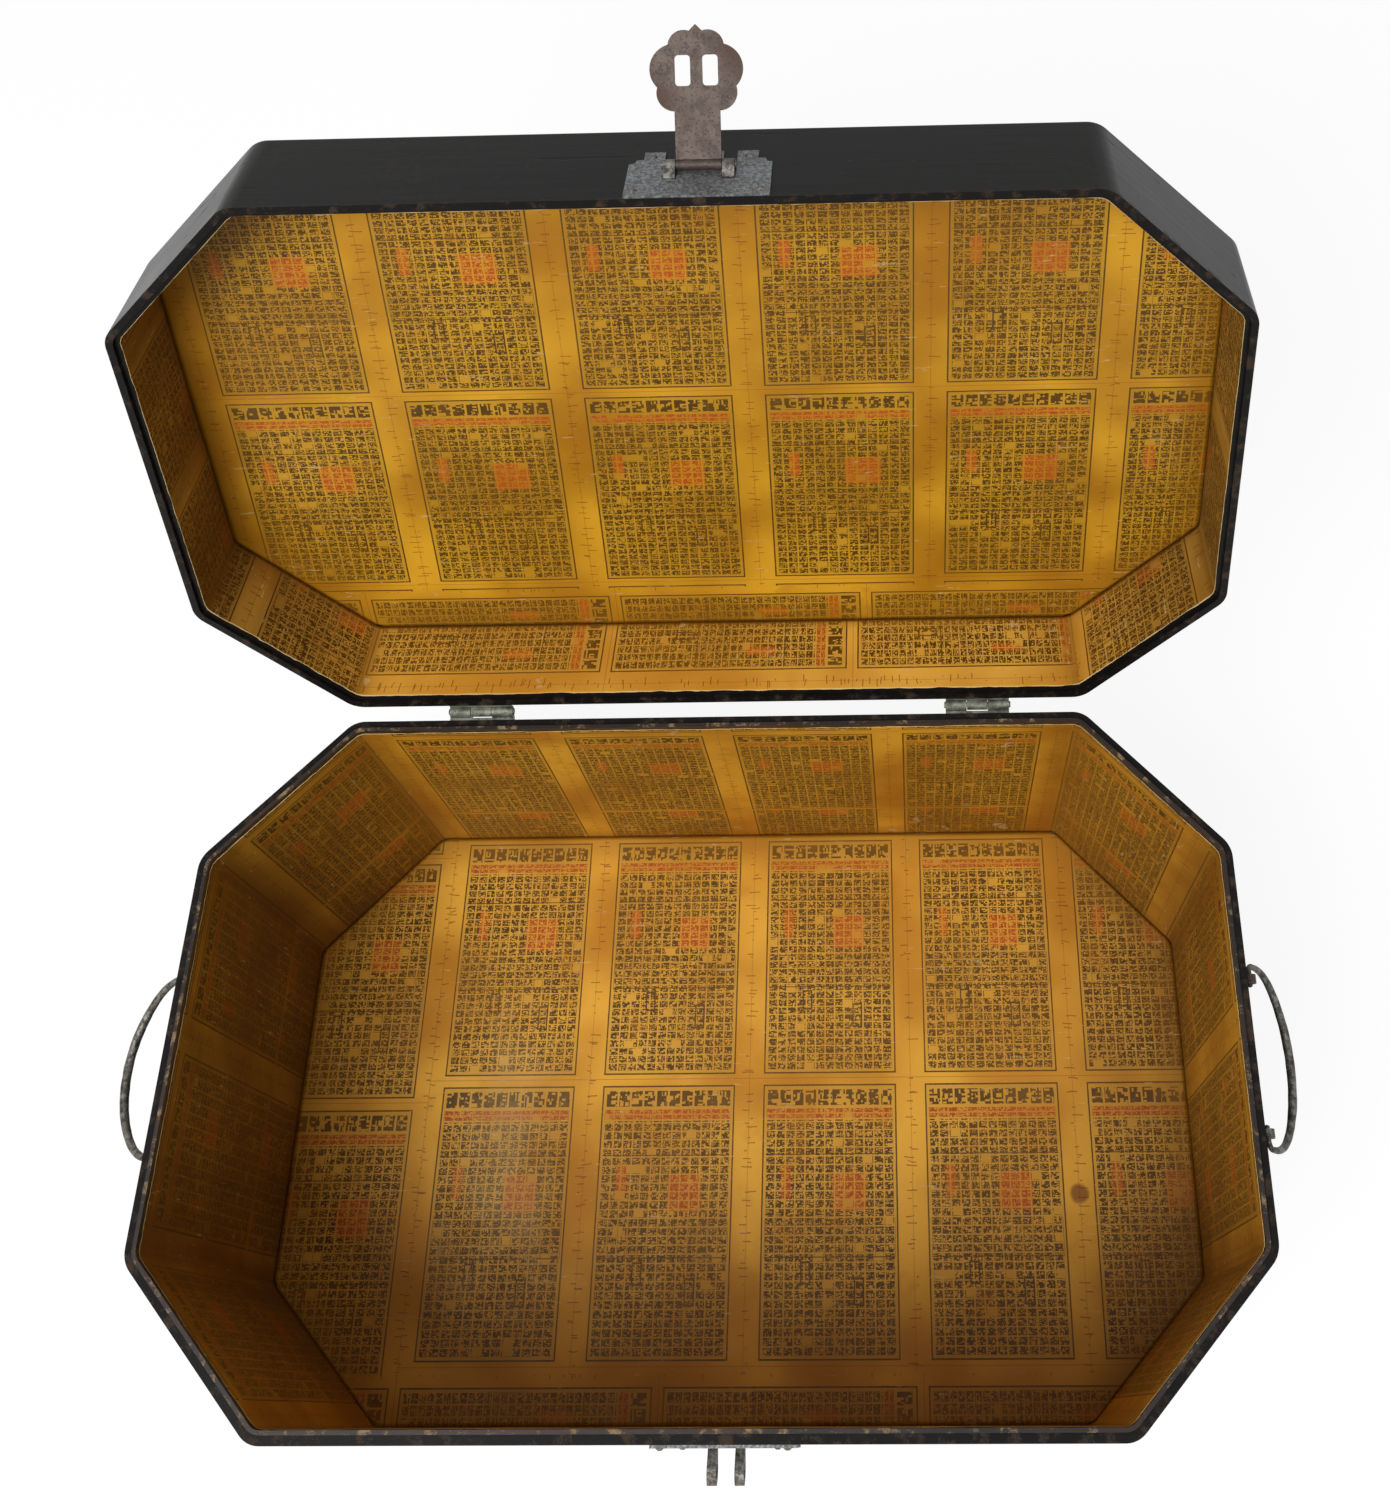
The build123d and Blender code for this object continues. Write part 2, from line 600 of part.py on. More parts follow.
def bail_handle(end):
    """A bail: a flat arch of three arcs on two tapers, whose ends turn inwards through the posts."""
    plane = tilted(BASE_FACES[end], (0, HANDLE_HEIGHT, POST_OUT), 90 + HANDLE_DROP[end])
    half = HANDLE_SPAN / 2
    foot = half - HANDLE_BEND
    tail = POST_SPACING / 2 - POST_THICKNESS
    spring = HANDLE_BEND + HANDLE_TAPER
    rise = HANDLE_REACH - spring
    reach = half - HANDLE_SHOULDER
    crown = (reach**2 + rise**2 - HANDLE_SHOULDER**2) / (2 * (rise - HANDLE_SHOULDER))
    meeting = math.degrees(math.atan2(crown - rise, reach))

    def at(x, y):
        return plane.from_local_coords((x, y, 0))

    with BuildPart() as bail:
        for flip in (-1, 1):
            with BuildSketch(Plane(origin=at(0, HANDLE_REACH), z_dir=plane.x_dir)):
                Circle(HANDLE_GRIP)
            revolve(axis=Axis(at(0, HANDLE_REACH - crown), flip * plane.z_dir),
                    revolution_arc=90 - meeting)
            with BuildSketch(Plane(origin=at(flip * half, spring), z_dir=plane.y_dir)):
                Circle(HANDLE_GRIP)
            revolve(axis=Axis(at(flip * reach, spring), flip * plane.z_dir),
                    revolution_arc=meeting)
            with Locations(plane.location * Location((flip * half, HANDLE_BEND, 0), (-90, 0, 0))):
                Cone(HANDLE_END, HANDLE_GRIP, HANDLE_TAPER, align=OUTWARDS)
            with BuildSketch(Plane(origin=at(flip * half, HANDLE_BEND), z_dir=plane.y_dir)):
                Circle(HANDLE_END)
            revolve(axis=Axis(at(flip * foot, HANDLE_BEND), -flip * plane.z_dir),
                    revolution_arc=90)
            with BuildSketch(Plane(origin=at(flip * foot, 0), z_dir=-flip * plane.x_dir)):
                Circle(HANDLE_END)
            extrude(amount=foot - tail)
    save(bail, f"{end}_handle")


for end in ("left", "right"):
    handle_posts(end)
    bail_handle(end)
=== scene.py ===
"""A travel trunk standing open: its looks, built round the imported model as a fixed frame.

Lengths are in metres, apart from names that end in _mm. Places inside the lid are worked out
with the lid shut and carried to the open one about the hinge.
"""
import json
import logging
import math
from dataclasses import dataclass
from enum import Enum
from functools import partialmethod, reduce
from typing import Any, Callable, Optional, Sequence, Union

import bpy
import numpy as np
from mathutils import Matrix, Vector


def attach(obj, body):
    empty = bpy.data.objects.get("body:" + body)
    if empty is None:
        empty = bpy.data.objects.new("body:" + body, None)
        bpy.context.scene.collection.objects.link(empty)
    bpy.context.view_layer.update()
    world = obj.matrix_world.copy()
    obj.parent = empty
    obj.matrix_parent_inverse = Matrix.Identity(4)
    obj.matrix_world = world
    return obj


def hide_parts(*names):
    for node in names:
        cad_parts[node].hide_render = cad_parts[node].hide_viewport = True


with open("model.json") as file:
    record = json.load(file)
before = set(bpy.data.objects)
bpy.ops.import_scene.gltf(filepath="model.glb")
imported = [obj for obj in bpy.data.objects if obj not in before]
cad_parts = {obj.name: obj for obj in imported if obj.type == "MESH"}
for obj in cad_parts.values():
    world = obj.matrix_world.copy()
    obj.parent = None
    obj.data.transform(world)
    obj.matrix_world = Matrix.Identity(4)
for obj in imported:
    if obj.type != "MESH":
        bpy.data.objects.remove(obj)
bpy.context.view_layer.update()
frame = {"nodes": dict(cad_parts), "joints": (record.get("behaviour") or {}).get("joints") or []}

LOG = logging.getLogger("travel_trunk")
Colour = tuple[float, float, float]
Place = tuple[float, float, float]
Rectangle = tuple[float, float, float, float]
MM = 0.001

HINGE = next(joint for joint in frame["joints"] if joint["name"] == "lid_hinge")
HINGE_LINE = tuple(HINGE["pos_m"])
LID_TURN = math.radians(-HINGE["range_deg"][0])
HALF_LENGTH_MM = 320.0
HALF_WIDTH_MM = 194.0
CORNER_CUT_MM = 85.0
ROUNDING_MM = 16.0
WALL_MM = 7.0
RIM_MM = 262.0
LID_RIM_MM = 262.4
CEILING_MM = 326.0
INSET_CUT = 2 - math.sqrt(2)  # how much shorter a 45 degree corner's cut gets for each mm of inset


def tone(red: float, green: float, blue: float) -> Colour:
    """A colour as seen on a screen, 0 to 255, made linear by the usual 2.4 power curve."""
    parts = np.array([red, green, blue]) / 255
    return tuple(np.where(parts <= 0.04045, parts / 12.92, ((parts + 0.055) / 1.055) ** 2.4))


# ---------------- shader expressions


class Value:
    """One output of a node, used in expressions: each operator adds a Math node."""

    def __init__(self, web: "Web", socket: bpy.types.NodeSocket) -> None:
        """Keeps the node tree and the output."""
        self.web = web
        self.socket = socket

    def math(self, operation: str, *others: Any, swapped: bool = False) -> "Value":
        """Adds a Math node.

        Args:
            operation: the node's operation.
            others: its further operands, values or numbers.
            swapped: whether this value is the last operand.

        Returns:
            The node's result.
        """
        operands = (*others, self) if swapped else (self, *others)
        return self.web.node("ShaderNodeMath", {"operation": operation}, dict(enumerate(operands)))

    # Operators and plain functions of one Math node each; a comparison gives 1 or 0.
    __add__ = __radd__ = partialmethod(math, "ADD")
    __sub__ = partialmethod(math, "SUBTRACT")
    __rsub__ = partialmethod(math, "SUBTRACT", swapped=True)
    __mul__ = __rmul__ = partialmethod(math, "MULTIPLY")
    __truediv__ = partialmethod(math, "DIVIDE")
    __gt__ = partialmethod(math, "GREATER_THAN")
    __lt__ = partialmethod(math, "LESS_THAN")
    __abs__ = partialmethod(math, "ABSOLUTE")
    floor = partialmethod(math, "FLOOR")
    part_of_one = partialmethod(math, "FRACT")
    least = partialmethod(math, "MINIMUM")
    most = partialmethod(math, "MAXIMUM")

    def wrapped(self, pitch: float) -> "Value":
        """The remainder over a pitch, from 0 to the pitch."""
        return (self / pitch).part_of_one() * pitch

    def eased(self, low: float, high: float) -> "Value":
        """A smooth step from 0 at low to 1 at high."""
        return self.web.node("ShaderNodeMapRange", {"interpolation_type": "SMOOTHSTEP"},
                             {0: self, 1: low, 2: high, 3: 0.0, 4: 1.0})

    def part(self, axis: int) -> "Value":
        """One of the three parts of a vector."""
        return self.web.node("ShaderNodeSeparateXYZ", {}, {0: self}, axis)


Input = Union[Value, float, Sequence[float]]


class Web:
    """The nodes of one material or world, and the patterns that the finishes share."""

    def __init__(self, tree: bpy.types.NodeTree) -> None:
        """Keeps the node tree."""
        self.tree = tree

    def node(self, kind: str, settings: dict[str, Any], sockets: dict[Any, Any],
             output: Union[int, str] = 0) -> Value:
        """Adds one node.

        Args:
            kind: the node's type.
            settings: its settings, set first.
            sockets: values or links of its inputs, by name or number.
            output: the output to give back.

        Returns:
            That output.
        """
        made = self.tree.nodes.new(kind)
        for name, setting in settings.items():
            setattr(made, name, setting)
        self.feed(made, sockets)
        return Value(self, made.outputs[output])

    def feed(self, made: bpy.types.Node, sockets: dict[Any, Any]) -> None:
        """Links values to a node's inputs, or sets the inputs' own numbers and colours.

        Args:
            made: the node.
            sockets: values, numbers, vectors or colours, by the input's name or number.
        """
        for key, given in sockets.items():
            socket = made.inputs[key]
            if isinstance(given, Value):
                self.tree.links.new(given.socket, socket)
            elif socket.type == "RGBA" and len(given) == 3:
                socket.default_value = (*given, 1.0)
            else:
                socket.default_value = given

    def mix(self, share: Input, under: Input, over: Input) -> Value:
        """A colour between two, by a share of the second."""
        return self.node("ShaderNodeMix", {"data_type": "RGBA"}, {0: share, 6: under, 7: over}, 2)

    def stretched(self, place: Value, scale: Sequence[float]) -> Value:
        """A place with each axis scaled by its own factor."""
        return self.node("ShaderNodeVectorMath", {"operation": "MULTIPLY"}, {0: place, 1: scale})

    def distance(self, place: Value, point: Place, weights: Place = (1.0, 1.0, 1.0)) -> Value:
        """How far a place is from a point, with each axis weighted."""
        away = self.node("ShaderNodeVectorMath", {"operation": "SUBTRACT"}, {0: place, 1: point})
        return self.node("ShaderNodeVectorMath", {"operation": "LENGTH"},
                         {0: self.stretched(away, weights)}, "Value")

    def place(self, in_lid: bool = False) -> Value:
        """Object coordinates, turned back to the shut lid's place for pieces of the lid.

        Args:
            in_lid: whether the piece rides on the lid.

        Returns:
            The place, in metres.
        """
        here = self.node("ShaderNodeTexCoord", {}, {}, "Object")
        if not in_lid:
            return here
        return self.node("ShaderNodeVectorRotate", {"rotation_type": "X_AXIS"},
                         {"Vector": here, "Center": HINGE_LINE, "Angle": LID_TURN})

    def noise(self, place: Value, size: float, detail: float = 3.0,
              roughness: float = 0.5) -> Value:
        """Cloudy noise from 0 to 1 with features of a size."""
        return self.node("ShaderNodeTexNoise", {},
                         {"Vector": place, "Scale": 1 / size, "Detail": detail,
                          "Roughness": roughness})

    def chance(self, x: Value, y: Value, seed: float) -> Value:
        """A random number from 0 to 1 for each whole-numbered cell of x and y."""
        cell = self.node("ShaderNodeCombineXYZ", {}, {0: x.floor(), 1: y.floor(), 2: seed})
        return self.node("ShaderNodeTexWhiteNoise", {"noise_dimensions": "3D"}, {"Vector": cell})

    def bump(self, height: Value, distance: float, strength: float) -> Value:
        """A normal raised by a height."""
        return self.node("ShaderNodeBump", {},
                         {"Height": height, "Distance": distance, "Strength": strength})


# ---------------- finishes


class Finish:
    """A finish; each kind wires its own surface into a Principled shader."""

    label: str

    def wire(self, web: Web, shader: bpy.types.Node) -> None:
        """Feeds the shader of a new material."""
        raise NotImplementedError

    def material(self) -> bpy.types.Material:
        """The finish's material, made on first use.

        Returns:
            The material.
        """
        found = bpy.data.materials.get(self.label)
        if found is None:
            found = bpy.data.materials.new(self.label)
            found.use_nodes = True
            self.wire(Web(found.node_tree), found.node_tree.nodes["Principled BSDF"])
        return found

    def dress(self, *nodes: str) -> None:
        """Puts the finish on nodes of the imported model.

        Args:
            nodes: the nodes' names.
        """
        for name in nodes:
            piece = frame["nodes"][name]
            piece.data.materials.clear()
            piece.data.materials.append(self.material())


@dataclass(frozen=True)
class Lacquer(Finish):
    """Black lacquer on boards: brushed, dusty, scratched, and rubbed brown along the rim."""

    label: str
    in_lid: bool
    rim_mm: float
    gloss: float = 0.1
    dustiness: float = 0.12
    black: Colour = tone(20, 18, 17)
    brown: Colour = tone(62, 50, 40)
    dust: Colour = tone(92, 88, 80)

    def wire(self, web: Web, shader: bpy.types.Node) -> None:
        """Brown shows through at the rim; dust and scratches dull the gloss elsewhere.

        Args:
            web: the material's nodes.
            shader: its shader.
        """
        here = web.place(self.in_lid)
        clouds = web.noise(here, 0.09, 4)
        fine = web.noise(here, 0.004, 5, 0.65)
        from_rim = abs(here.part(2) - self.rim_mm * MM)
        rubbed = web.noise(here, 0.012, 6, 0.7).eased(0.5, 0.66)
        rubbed = (1 - from_rim.eased(0.0003, 0.0035)) * rubbed
        chips = web.noise(here, 0.005, 3, 0.7).eased(0.7, 0.74)
        scratches = web.noise(web.stretched(here, (9.0, 70.0, 220.0)), 0.9, 3).eased(0.67, 0.71)
        strokes = web.noise(web.stretched(here, (6.0, 6.0, 90.0)), 0.5, 3)
        worn = rubbed.most(chips * 0.8)
        dusty = clouds.eased(0.45, 0.8) * fine.eased(0.4, 0.75) * self.dustiness
        base = web.mix(dusty, self.black, self.dust)
        web.feed(shader, {
            "Base Color": web.mix(worn, base, self.brown),
            "Specular IOR Level": self.gloss,
            "Roughness": 0.2 + clouds * 0.16 + strokes * 0.08 + worn * 0.35 + scratches * 0.2,
            "Normal": web.bump(strokes * 0.6 + fine * 0.3 - worn - scratches * 0.5, 0.0003, 0.55)})


@dataclass(frozen=True)
class LipLacquer(Finish):
    """Dark red-brown lacquer on the lip, worn to cream wood on its upper edge."""

    label: str = "lip_lacquer_worn"
    gloss: float = 0.3
    worn_from: float = 0.2625
    worn_to: float = 0.2645
    dark: Colour = tone(26, 22, 20)
    red: Colour = tone(56, 34, 28)
    wood: Colour = tone(140, 118, 88)

    def wire(self, web: Web, shader: bpy.types.Node) -> None:
        """Red clouds in a dark ground, with wood at the worn top edge.

        Args:
            web: the material's nodes.
            shader: its shader.
        """
        here = web.place()
        clouds = web.noise(here, 0.05, 5)
        nicks = web.noise(web.stretched(here, (1.0, 1.0, 0.4)), 0.009, 6, 0.7)
        worn = here.part(2).eased(self.worn_from, self.worn_to) * nicks.eased(0.52, 0.66)
        ground = web.mix(clouds.eased(0.4, 0.7) * 0.6, self.dark, self.red)
        web.feed(shader, {
            "Base Color": web.mix(worn, ground, self.wood),
            "Specular IOR Level": self.gloss,
            "Roughness": 0.3 + clouds * 0.15 + worn * 0.35,
            "Normal": web.bump(nicks * 0.5 - worn, 0.0003, 0.6)})


@dataclass(frozen=True)
class BareBoard(Finish):
    """Plain sawn board with its grain along the length, greyed and stained."""

    label: str = "bare_board_sawn"
    pale: Colour = tone(150, 120, 84)
    dark: Colour = tone(96, 70, 46)

    def wire(self, web: Web, shader: bpy.types.Node) -> None:
        """Long streaks of grain over broad stains.

        Args:
            web: the material's nodes.
            shader: its shader.
        """
        here = web.place()
        grain = web.noise(web.stretched(here, (1.0, 16.0, 16.0)), 0.12, 6, 0.6)
        stain = web.noise(here, 0.11, 4)
        saw = web.noise(web.stretched(here, (40.0, 1.0, 1.0)), 0.12, 2)
        streaks = (grain * 0.7 + stain * 0.5).eased(0.35, 0.8)
        web.feed(shader, {
            "Base Color": web.mix(streaks, self.pale, self.dark),
            "Roughness": 0.72 + grain * 0.18,
            "Normal": web.bump(grain + saw * 0.3, 0.0006, 0.6)})


@dataclass(frozen=True)
class Metal:
    """One kind of old metal: its tones, the size of its mottling and the depth of its pits."""

    label: str
    dark: Colour
    light: Colour
    rust: Colour
    mottle: float
    rust_from: float
    roughness: float
    pits: float


class Iron(Enum):
    """The iron and sheet of the fittings."""

    FORGED = Metal("forged_iron_hammered", tone(58, 55, 50), tone(132, 130, 122),
                   tone(84, 62, 48), 0.004, 0.62, 0.42, 0.0007)
    HINGE = Metal("hinge_iron_dull", tone(82, 84, 74), tone(134, 136, 122),
                  tone(104, 84, 58), 0.006, 0.66, 0.5, 0.0003)
    HASP = Metal("hasp_iron_brown", tone(64, 54, 49), tone(90, 79, 73),
                 tone(84, 60, 48), 0.008, 0.58, 0.46, 0.0003)
    PLATE = Metal("plate_sheet_speckled", tone(82, 83, 84), tone(140, 142, 143),
                  tone(92, 90, 86), 0.0018, 0.62, 0.42, 0.0002)


@dataclass(frozen=True)
class IronFinish(Finish):
    """Old iron in one of its kinds: mottled, freckled, rusted in patches and pitted."""

    kind: Iron
    metallic: float = 0.72

    @property
    def label(self) -> str:
        """The material's name."""
        return self.kind.value.label

    def wire(self, web: Web, shader: bpy.types.Node) -> None:
        """Mottled between two tones, with rust where the broad noise is high.

        Args:
            web: the material's nodes.
            shader: its shader.
        """
        metal = self.kind.value
        here = web.place()
        broad = web.noise(here, metal.mottle * 4, 4)
        mottle = web.noise(here, metal.mottle, 5, 0.62)
        specks = web.noise(here, metal.mottle * 0.22, 2).eased(0.58, 0.66)
        rusted = broad.eased(metal.rust_from - 0.08, metal.rust_from + 0.1)
        ground = web.mix(mottle.eased(0.36, 0.66), metal.dark, metal.light)
        freckled = web.mix(specks * 0.6, ground, metal.dark)
        web.feed(shader, {
            "Base Color": web.mix(rusted * 0.75, freckled, metal.rust),
            "Metallic": self.metallic - rusted * 0.5 - specks * 0.2,
            "Roughness": metal.roughness + mottle * 0.22 + rusted * 0.2,
            "Normal": web.bump(mottle + broad * 0.8 - specks * 0.6, metal.pits, 0.7)})


@dataclass(frozen=True)
class PanelLayout:
    """A sheet of framed panels, in mm of the print map.

    Rectangles are left, low, right and high in the panel; cuts are a height and a half width.
    """

    pitch: tuple[float, float] = (113.75, 168.0)
    corner: tuple[float, float] = (10.0, 3.5)
    size: tuple[float, float] = (93.5, 161.0)
    frame_line: float = 1.0
    margin: float = 2.4
    columns: int = 13
    rows: int = 30
    heading: float = 14.0
    band: float = 7.0
    ruled: Rectangle = (2, 58, 92, 80)
    boxes: tuple[Rectangle, ...] = ((27, 42, 34, 55), (63, 30, 70, 46))
    warm: tuple[Rectangle, ...] = ((49, 84, 72, 107), (13, 92, 20, 112))
    cuts: tuple[tuple[float, float], ...] = ((57.5, 0.4), (118.0, 0.35))


@dataclass(frozen=True)
class PrintedPaper(Finish):
    """Varnished ochre paper: framed panels with rows of abstract strokes, age and painted shade.

    ends is how much painted shade darkens the left and the right end, haze is how pale the
    rubbed cloud is, and the setting after haze is how far in mm from a fold the painted shade
    in the corners reaches.
    """

    label: str
    in_lid: bool = False
    ends: tuple[float, float] = (0.0, 0.0)
    haze: float = 0.0
    corner_shade_mm: float = 30.0
    gloss: float = 0.2
    varnish: float = 0.12
    varnish_roughness: float = 0.22
    layout: PanelLayout = PanelLayout()
    stain_at: Place = (0.2335, -0.0555, 0.0075)
    haze_at: Place = (-0.165, -0.025, 0.0)
    bright: Colour = tone(216, 160, 36)
    deep: Colour = tone(164, 108, 14)
    field: Colour = tone(168, 128, 32)
    ink: Colour = tone(72, 46, 8)
    orange: Colour = tone(204, 84, 20)
    crimson: Colour = tone(116, 44, 14)
    # brown is the colour of the painted shade at the ends of the sheet.
    brown: Colour = tone(56, 24, 4)
    cream: Colour = tone(214, 190, 140)

    def strokes(self, web: Web, u: Value, v: Value, grain: float, seed: float) -> Value:
        """A random weave of short strokes along and up the sheet."""
        along = web.chance(u / (grain * 2.6), v / grain, seed) > 0.5
        return along.most(web.chance(u / grain, v / (grain * 2.6), seed + 1) > 0.64)

    def blocks(self, across: Value, up: Value, wide: float, high: float, gap: float) -> Value:
        """Blocks in rows and columns, with a gap given as a share of each cell."""
        in_column, in_row = (abs((place / cell).part_of_one() - 0.5) < 0.5 - gap / 2
                             for place, cell in ((across, wide), (up, high)))
        return in_column * in_row

    def patches(self, across: Value, up: Value, rectangles: Sequence[Rectangle],
                inset: float = 0.0) -> Value:
        """1 inside any of some rectangles of the panel, otherwise 0.

        Args:
            across, up: the place in the panel.
            rectangles: the rectangles.
            inset: how far each is drawn in.

        Returns:
            The mask.
        """
        return reduce(Value.most, [
            (across > left + inset) * (across < right - inset)
            * (up > low + inset) * (up < high - inset)
            for left, low, right, high in rectangles])

    def cracks(self, web: Web, u: Value, v: Value, bend: Value, every_mm: float,
               seed: float) -> Value:
        """Short bent cracks near the middle of the margins, one at most in each stretch.

        Args:
            web: the material's nodes.
            u, v: the print map.
            bend: how far the cracks are shifted, in stretches.
            every_mm: the length of a stretch.
            seed: fixes the draw.

        Returns:
            1 on a crack, otherwise 0.
        """
        pitch = self.layout.pitch[0]
        row = v / every_mm + bend
        column = (u / pitch + 0.5).floor()
        aside = u - column * pitch - (web.chance(row, column, seed) - 0.5) * 5.0
        reach = web.chance(row, column, seed + 1) * 6.5 - 2.5
        return (abs(row.part_of_one() - 0.5) < 0.32 / every_mm) * (abs(aside) < reach)

    def panels(self, web: Web, u: Value, v: Value, wobble: Value) -> tuple[Value, Value, Value]:
        """The frames and what they hold: a heading, a band, rows of blocks, boxes and rules.

        Args:
            web: the material's nodes.
            u, v: the print map.
            wobble: unevenness of the printed edges, in mm.

        Returns:
            1 inside the panels, 1 where the ink is warm, and how dark the ink is.
        """
        plan = self.layout
        across = u.wrapped(plan.pitch[0]) - plan.corner[0]
        up = v.wrapped(plan.pitch[1]) - plan.corner[1]
        border = across.least(plan.size[0] - across).least(up.least(plan.size[1] - up)) + wobble
        inside = border > 0.0
        field = border > plan.margin
        wide = (plan.size[0] - 2 * plan.margin) / plan.columns
        high = (plan.size[1] - 2 * plan.margin) / plan.rows
        heading_from = plan.size[1] - plan.heading
        band_from = heading_from - plan.band
        x, y = across - plan.margin, up - plan.margin
        body = field * (up < band_from - 1.0)
        band = field * (up > band_from) * (up < heading_from - 1.0)
        heading = field * (up > heading_from)
        present = web.chance(u / wide, v / high, 7.0) > 0.025
        small = self.strokes(web, u, v, 0.6, 0.0) * self.blocks(x, y, wide, high, 0.15) * present
        large = self.strokes(web, u, v, 1.25, 3.0) * self.blocks(
            x, up - heading_from, wide * 1.3, plan.heading - plan.margin, 0.16)
        boxes = self.patches(across, up, plan.boxes)
        warm = self.patches(across, up, plan.warm).most(band)
        rules = (abs((x / wide).part_of_one() - 0.02) < 0.03) * (
            self.patches(across, up, [plan.ruled]).most(band))
        cuts = reduce(Value.most, [abs(up - at) < half for at, half in plan.cuts])
        marks = (body * small).most(heading * large).most(band * small)
        dark = marks.most(inside * (border < plan.frame_line)).most(rules * 0.7)
        dark = dark.most(field * cuts * 0.8).most(boxes * small * 0.9)
        dark = dark.most(boxes * (1 - self.patches(across, up, plan.boxes, 1.0)))
        return inside, warm, dark

    def wire(self, web: Web, shader: bpy.types.Node) -> None:
        """Ground and print come first, then marks of age and painted shade, laid over each other in
        turn.

        Args:
            web: the material's nodes.
            shader: its shader.
        """
        here = web.place(self.in_lid)
        uv = web.node("ShaderNodeUVMap", {"uv_map": "print"}, {})
        u, v = uv.part(0), uv.part(1)
        fold, edge = (web.node("ShaderNodeAttribute", {"attribute_name": name}, {}, "Fac")
                      for name in ("fold_mm", "edge_mm"))
        clouds = web.noise(here, 0.085, 2)
        blotch = web.noise(here, 0.03, 3, 0.62)
        fibre = web.noise(here, 0.0018, 1, 0.7)

        inside, warm, dark = self.panels(web, u, v, (fibre - 0.5) * 0.3)
        faded = 0.5 + clouds * 0.4 + blotch * 0.4
        ground = web.mix(clouds.eased(0.3, 0.72), self.deep, self.bright)
        ground = web.mix(inside * 0.45, ground, self.field)
        tinted = web.mix(warm * 0.16, ground, self.orange)
        ink = web.mix(warm, self.ink, web.mix(0.45, self.orange, self.crimson))
        colour = web.mix((dark * faded).least(0.96), tinted, ink)

        margin = 1 - inside
        pitch_u, pitch_v = self.layout.pitch
        seam = (abs((u + pitch_u / 2).wrapped(pitch_u) - pitch_u / 2) < 0.28) * 0.3
        seam = seam.most((abs(v.wrapped(pitch_v) - 0.6) < 0.25) * 0.4) * margin
        cracks = margin * self.cracks(web, u, v, blotch * 0.9, 4.9, 11.0).most(
            self.cracks(web, u, v, blotch * 1.3, 8.3, 15.0))
        # Painted shade: the paper darkens towards the folds and the corners between the walls, most
        # within a few mm of them.
        painted_corner_shade = (1 - fold.eased(0.0, self.corner_shade_mm)) * (0.25 + clouds * 0.5)
        painted_corner_shade = painted_corner_shade.most((1 - fold.eased(0.6, 5.0)) * 0.78)
        # Painted shade: the left and the right end of the sheet darken towards brown, in streaks,
        # by the amounts in ends.
        along = here.part(0)
        streaks = web.noise(web.stretched(here, (14.0, 14.0, 1.5)), 0.3, 2)
        painted_end_shade = ((1 - along.eased(-0.325, -0.19)) * self.ends[0]
                 + along.eased(0.19, 0.325) * self.ends[1]) * (0.6 + streaks * 0.8)
        stain = web.distance(here, self.stain_at) + (blotch - 0.5) * 0.006
        cloud = web.distance(here, self.haze_at, (1.0, math.sqrt(0.3), 0.0))
        haze = (1 - (cloud + (blotch - 0.5) * 0.09).eased(0.0, 0.055)) * self.haze
        scuffs = web.noise(web.stretched(here, (1.0, 7.0, 1.0)), 0.02, 3, 0.7).eased(0.66, 0.7)
        torn = 1 - (edge + (blotch - 0.5) * 3.0).eased(0.2, 0.9)

        colour = web.mix(blotch.eased(0.56, 0.76) * 0.4, colour, self.deep)
        colour = web.mix(painted_corner_shade, colour, web.mix(0.5, self.deep, self.ink))
        colour = web.mix((cracks * 0.7).most(seam), colour, self.crimson)
        colour = web.mix((1 - stain.eased(0.0045, 0.0075)) * 0.75, colour, self.crimson)
        colour = web.mix(painted_end_shade.least(0.92), colour, self.brown)
        colour = web.mix((scuffs * 0.4).most(haze), colour, self.cream)
        web.feed(shader, {
            "Base Color": web.mix(torn * 0.8, colour, self.cream),
            "Specular IOR Level": self.gloss,
            "Roughness": 0.36 + blotch * 0.22 + fibre * 0.1 + torn * 0.3 + scuffs * 0.2,
            "Coat Weight": self.varnish - torn * 0.1,
            "Coat Roughness": self.varnish_roughness,
            "Normal": web.bump(fibre * 0.35 + blotch, 0.0005, 0.5)})


# ---------------- meshes

Unfold = Callable[[np.ndarray, np.ndarray, np.ndarray, np.ndarray], tuple[np.ndarray, np.ndarray]]


def opened(points_mm: np.ndarray) -> np.ndarray:
    """Places of the shut lid carried to the open one.

    The y and z from the hinge line are turned by the lid's angle: y cos + z sin, and
    z cos - y sin.

    Args:
        points_mm: an array whose last axis is x, y, z.

    Returns:
        The turned places, in the same shape.
    """
    out = points_mm - np.array(HINGE_LINE) / MM
    y, z = out[..., 1].copy(), out[..., 2].copy()
    out[..., 1] = y * math.cos(LID_TURN) + z * math.sin(LID_TURN)
    out[..., 2] = z * math.cos(LID_TURN) - y * math.sin(LID_TURN)
    return out + np.array(HINGE_LINE) / MM


def ripple(a: np.ndarray, b: np.ndarray, seed: int) -> np.ndarray:
    """Slack of pasted paper: eight plane sine waves, 14 to 90 mm long, added up and cut off.

    Args:
        a, b: places on the sheet in mm.
        seed: fixes the waves.

    Returns:
        A height from -1 to 1.
    """
    draw = np.random.default_rng(seed)
    turn = draw.uniform(0, math.pi, 8)
    length = draw.uniform(14, 90, 8)
    phase = draw.uniform(0, 2 * math.pi, 8)
    run = a[..., None] * np.cos(turn) + b[..., None] * np.sin(turn)
    return np.clip(np.sin(2 * math.pi * run / length + phase).sum(-1) / 4, -1, 1)


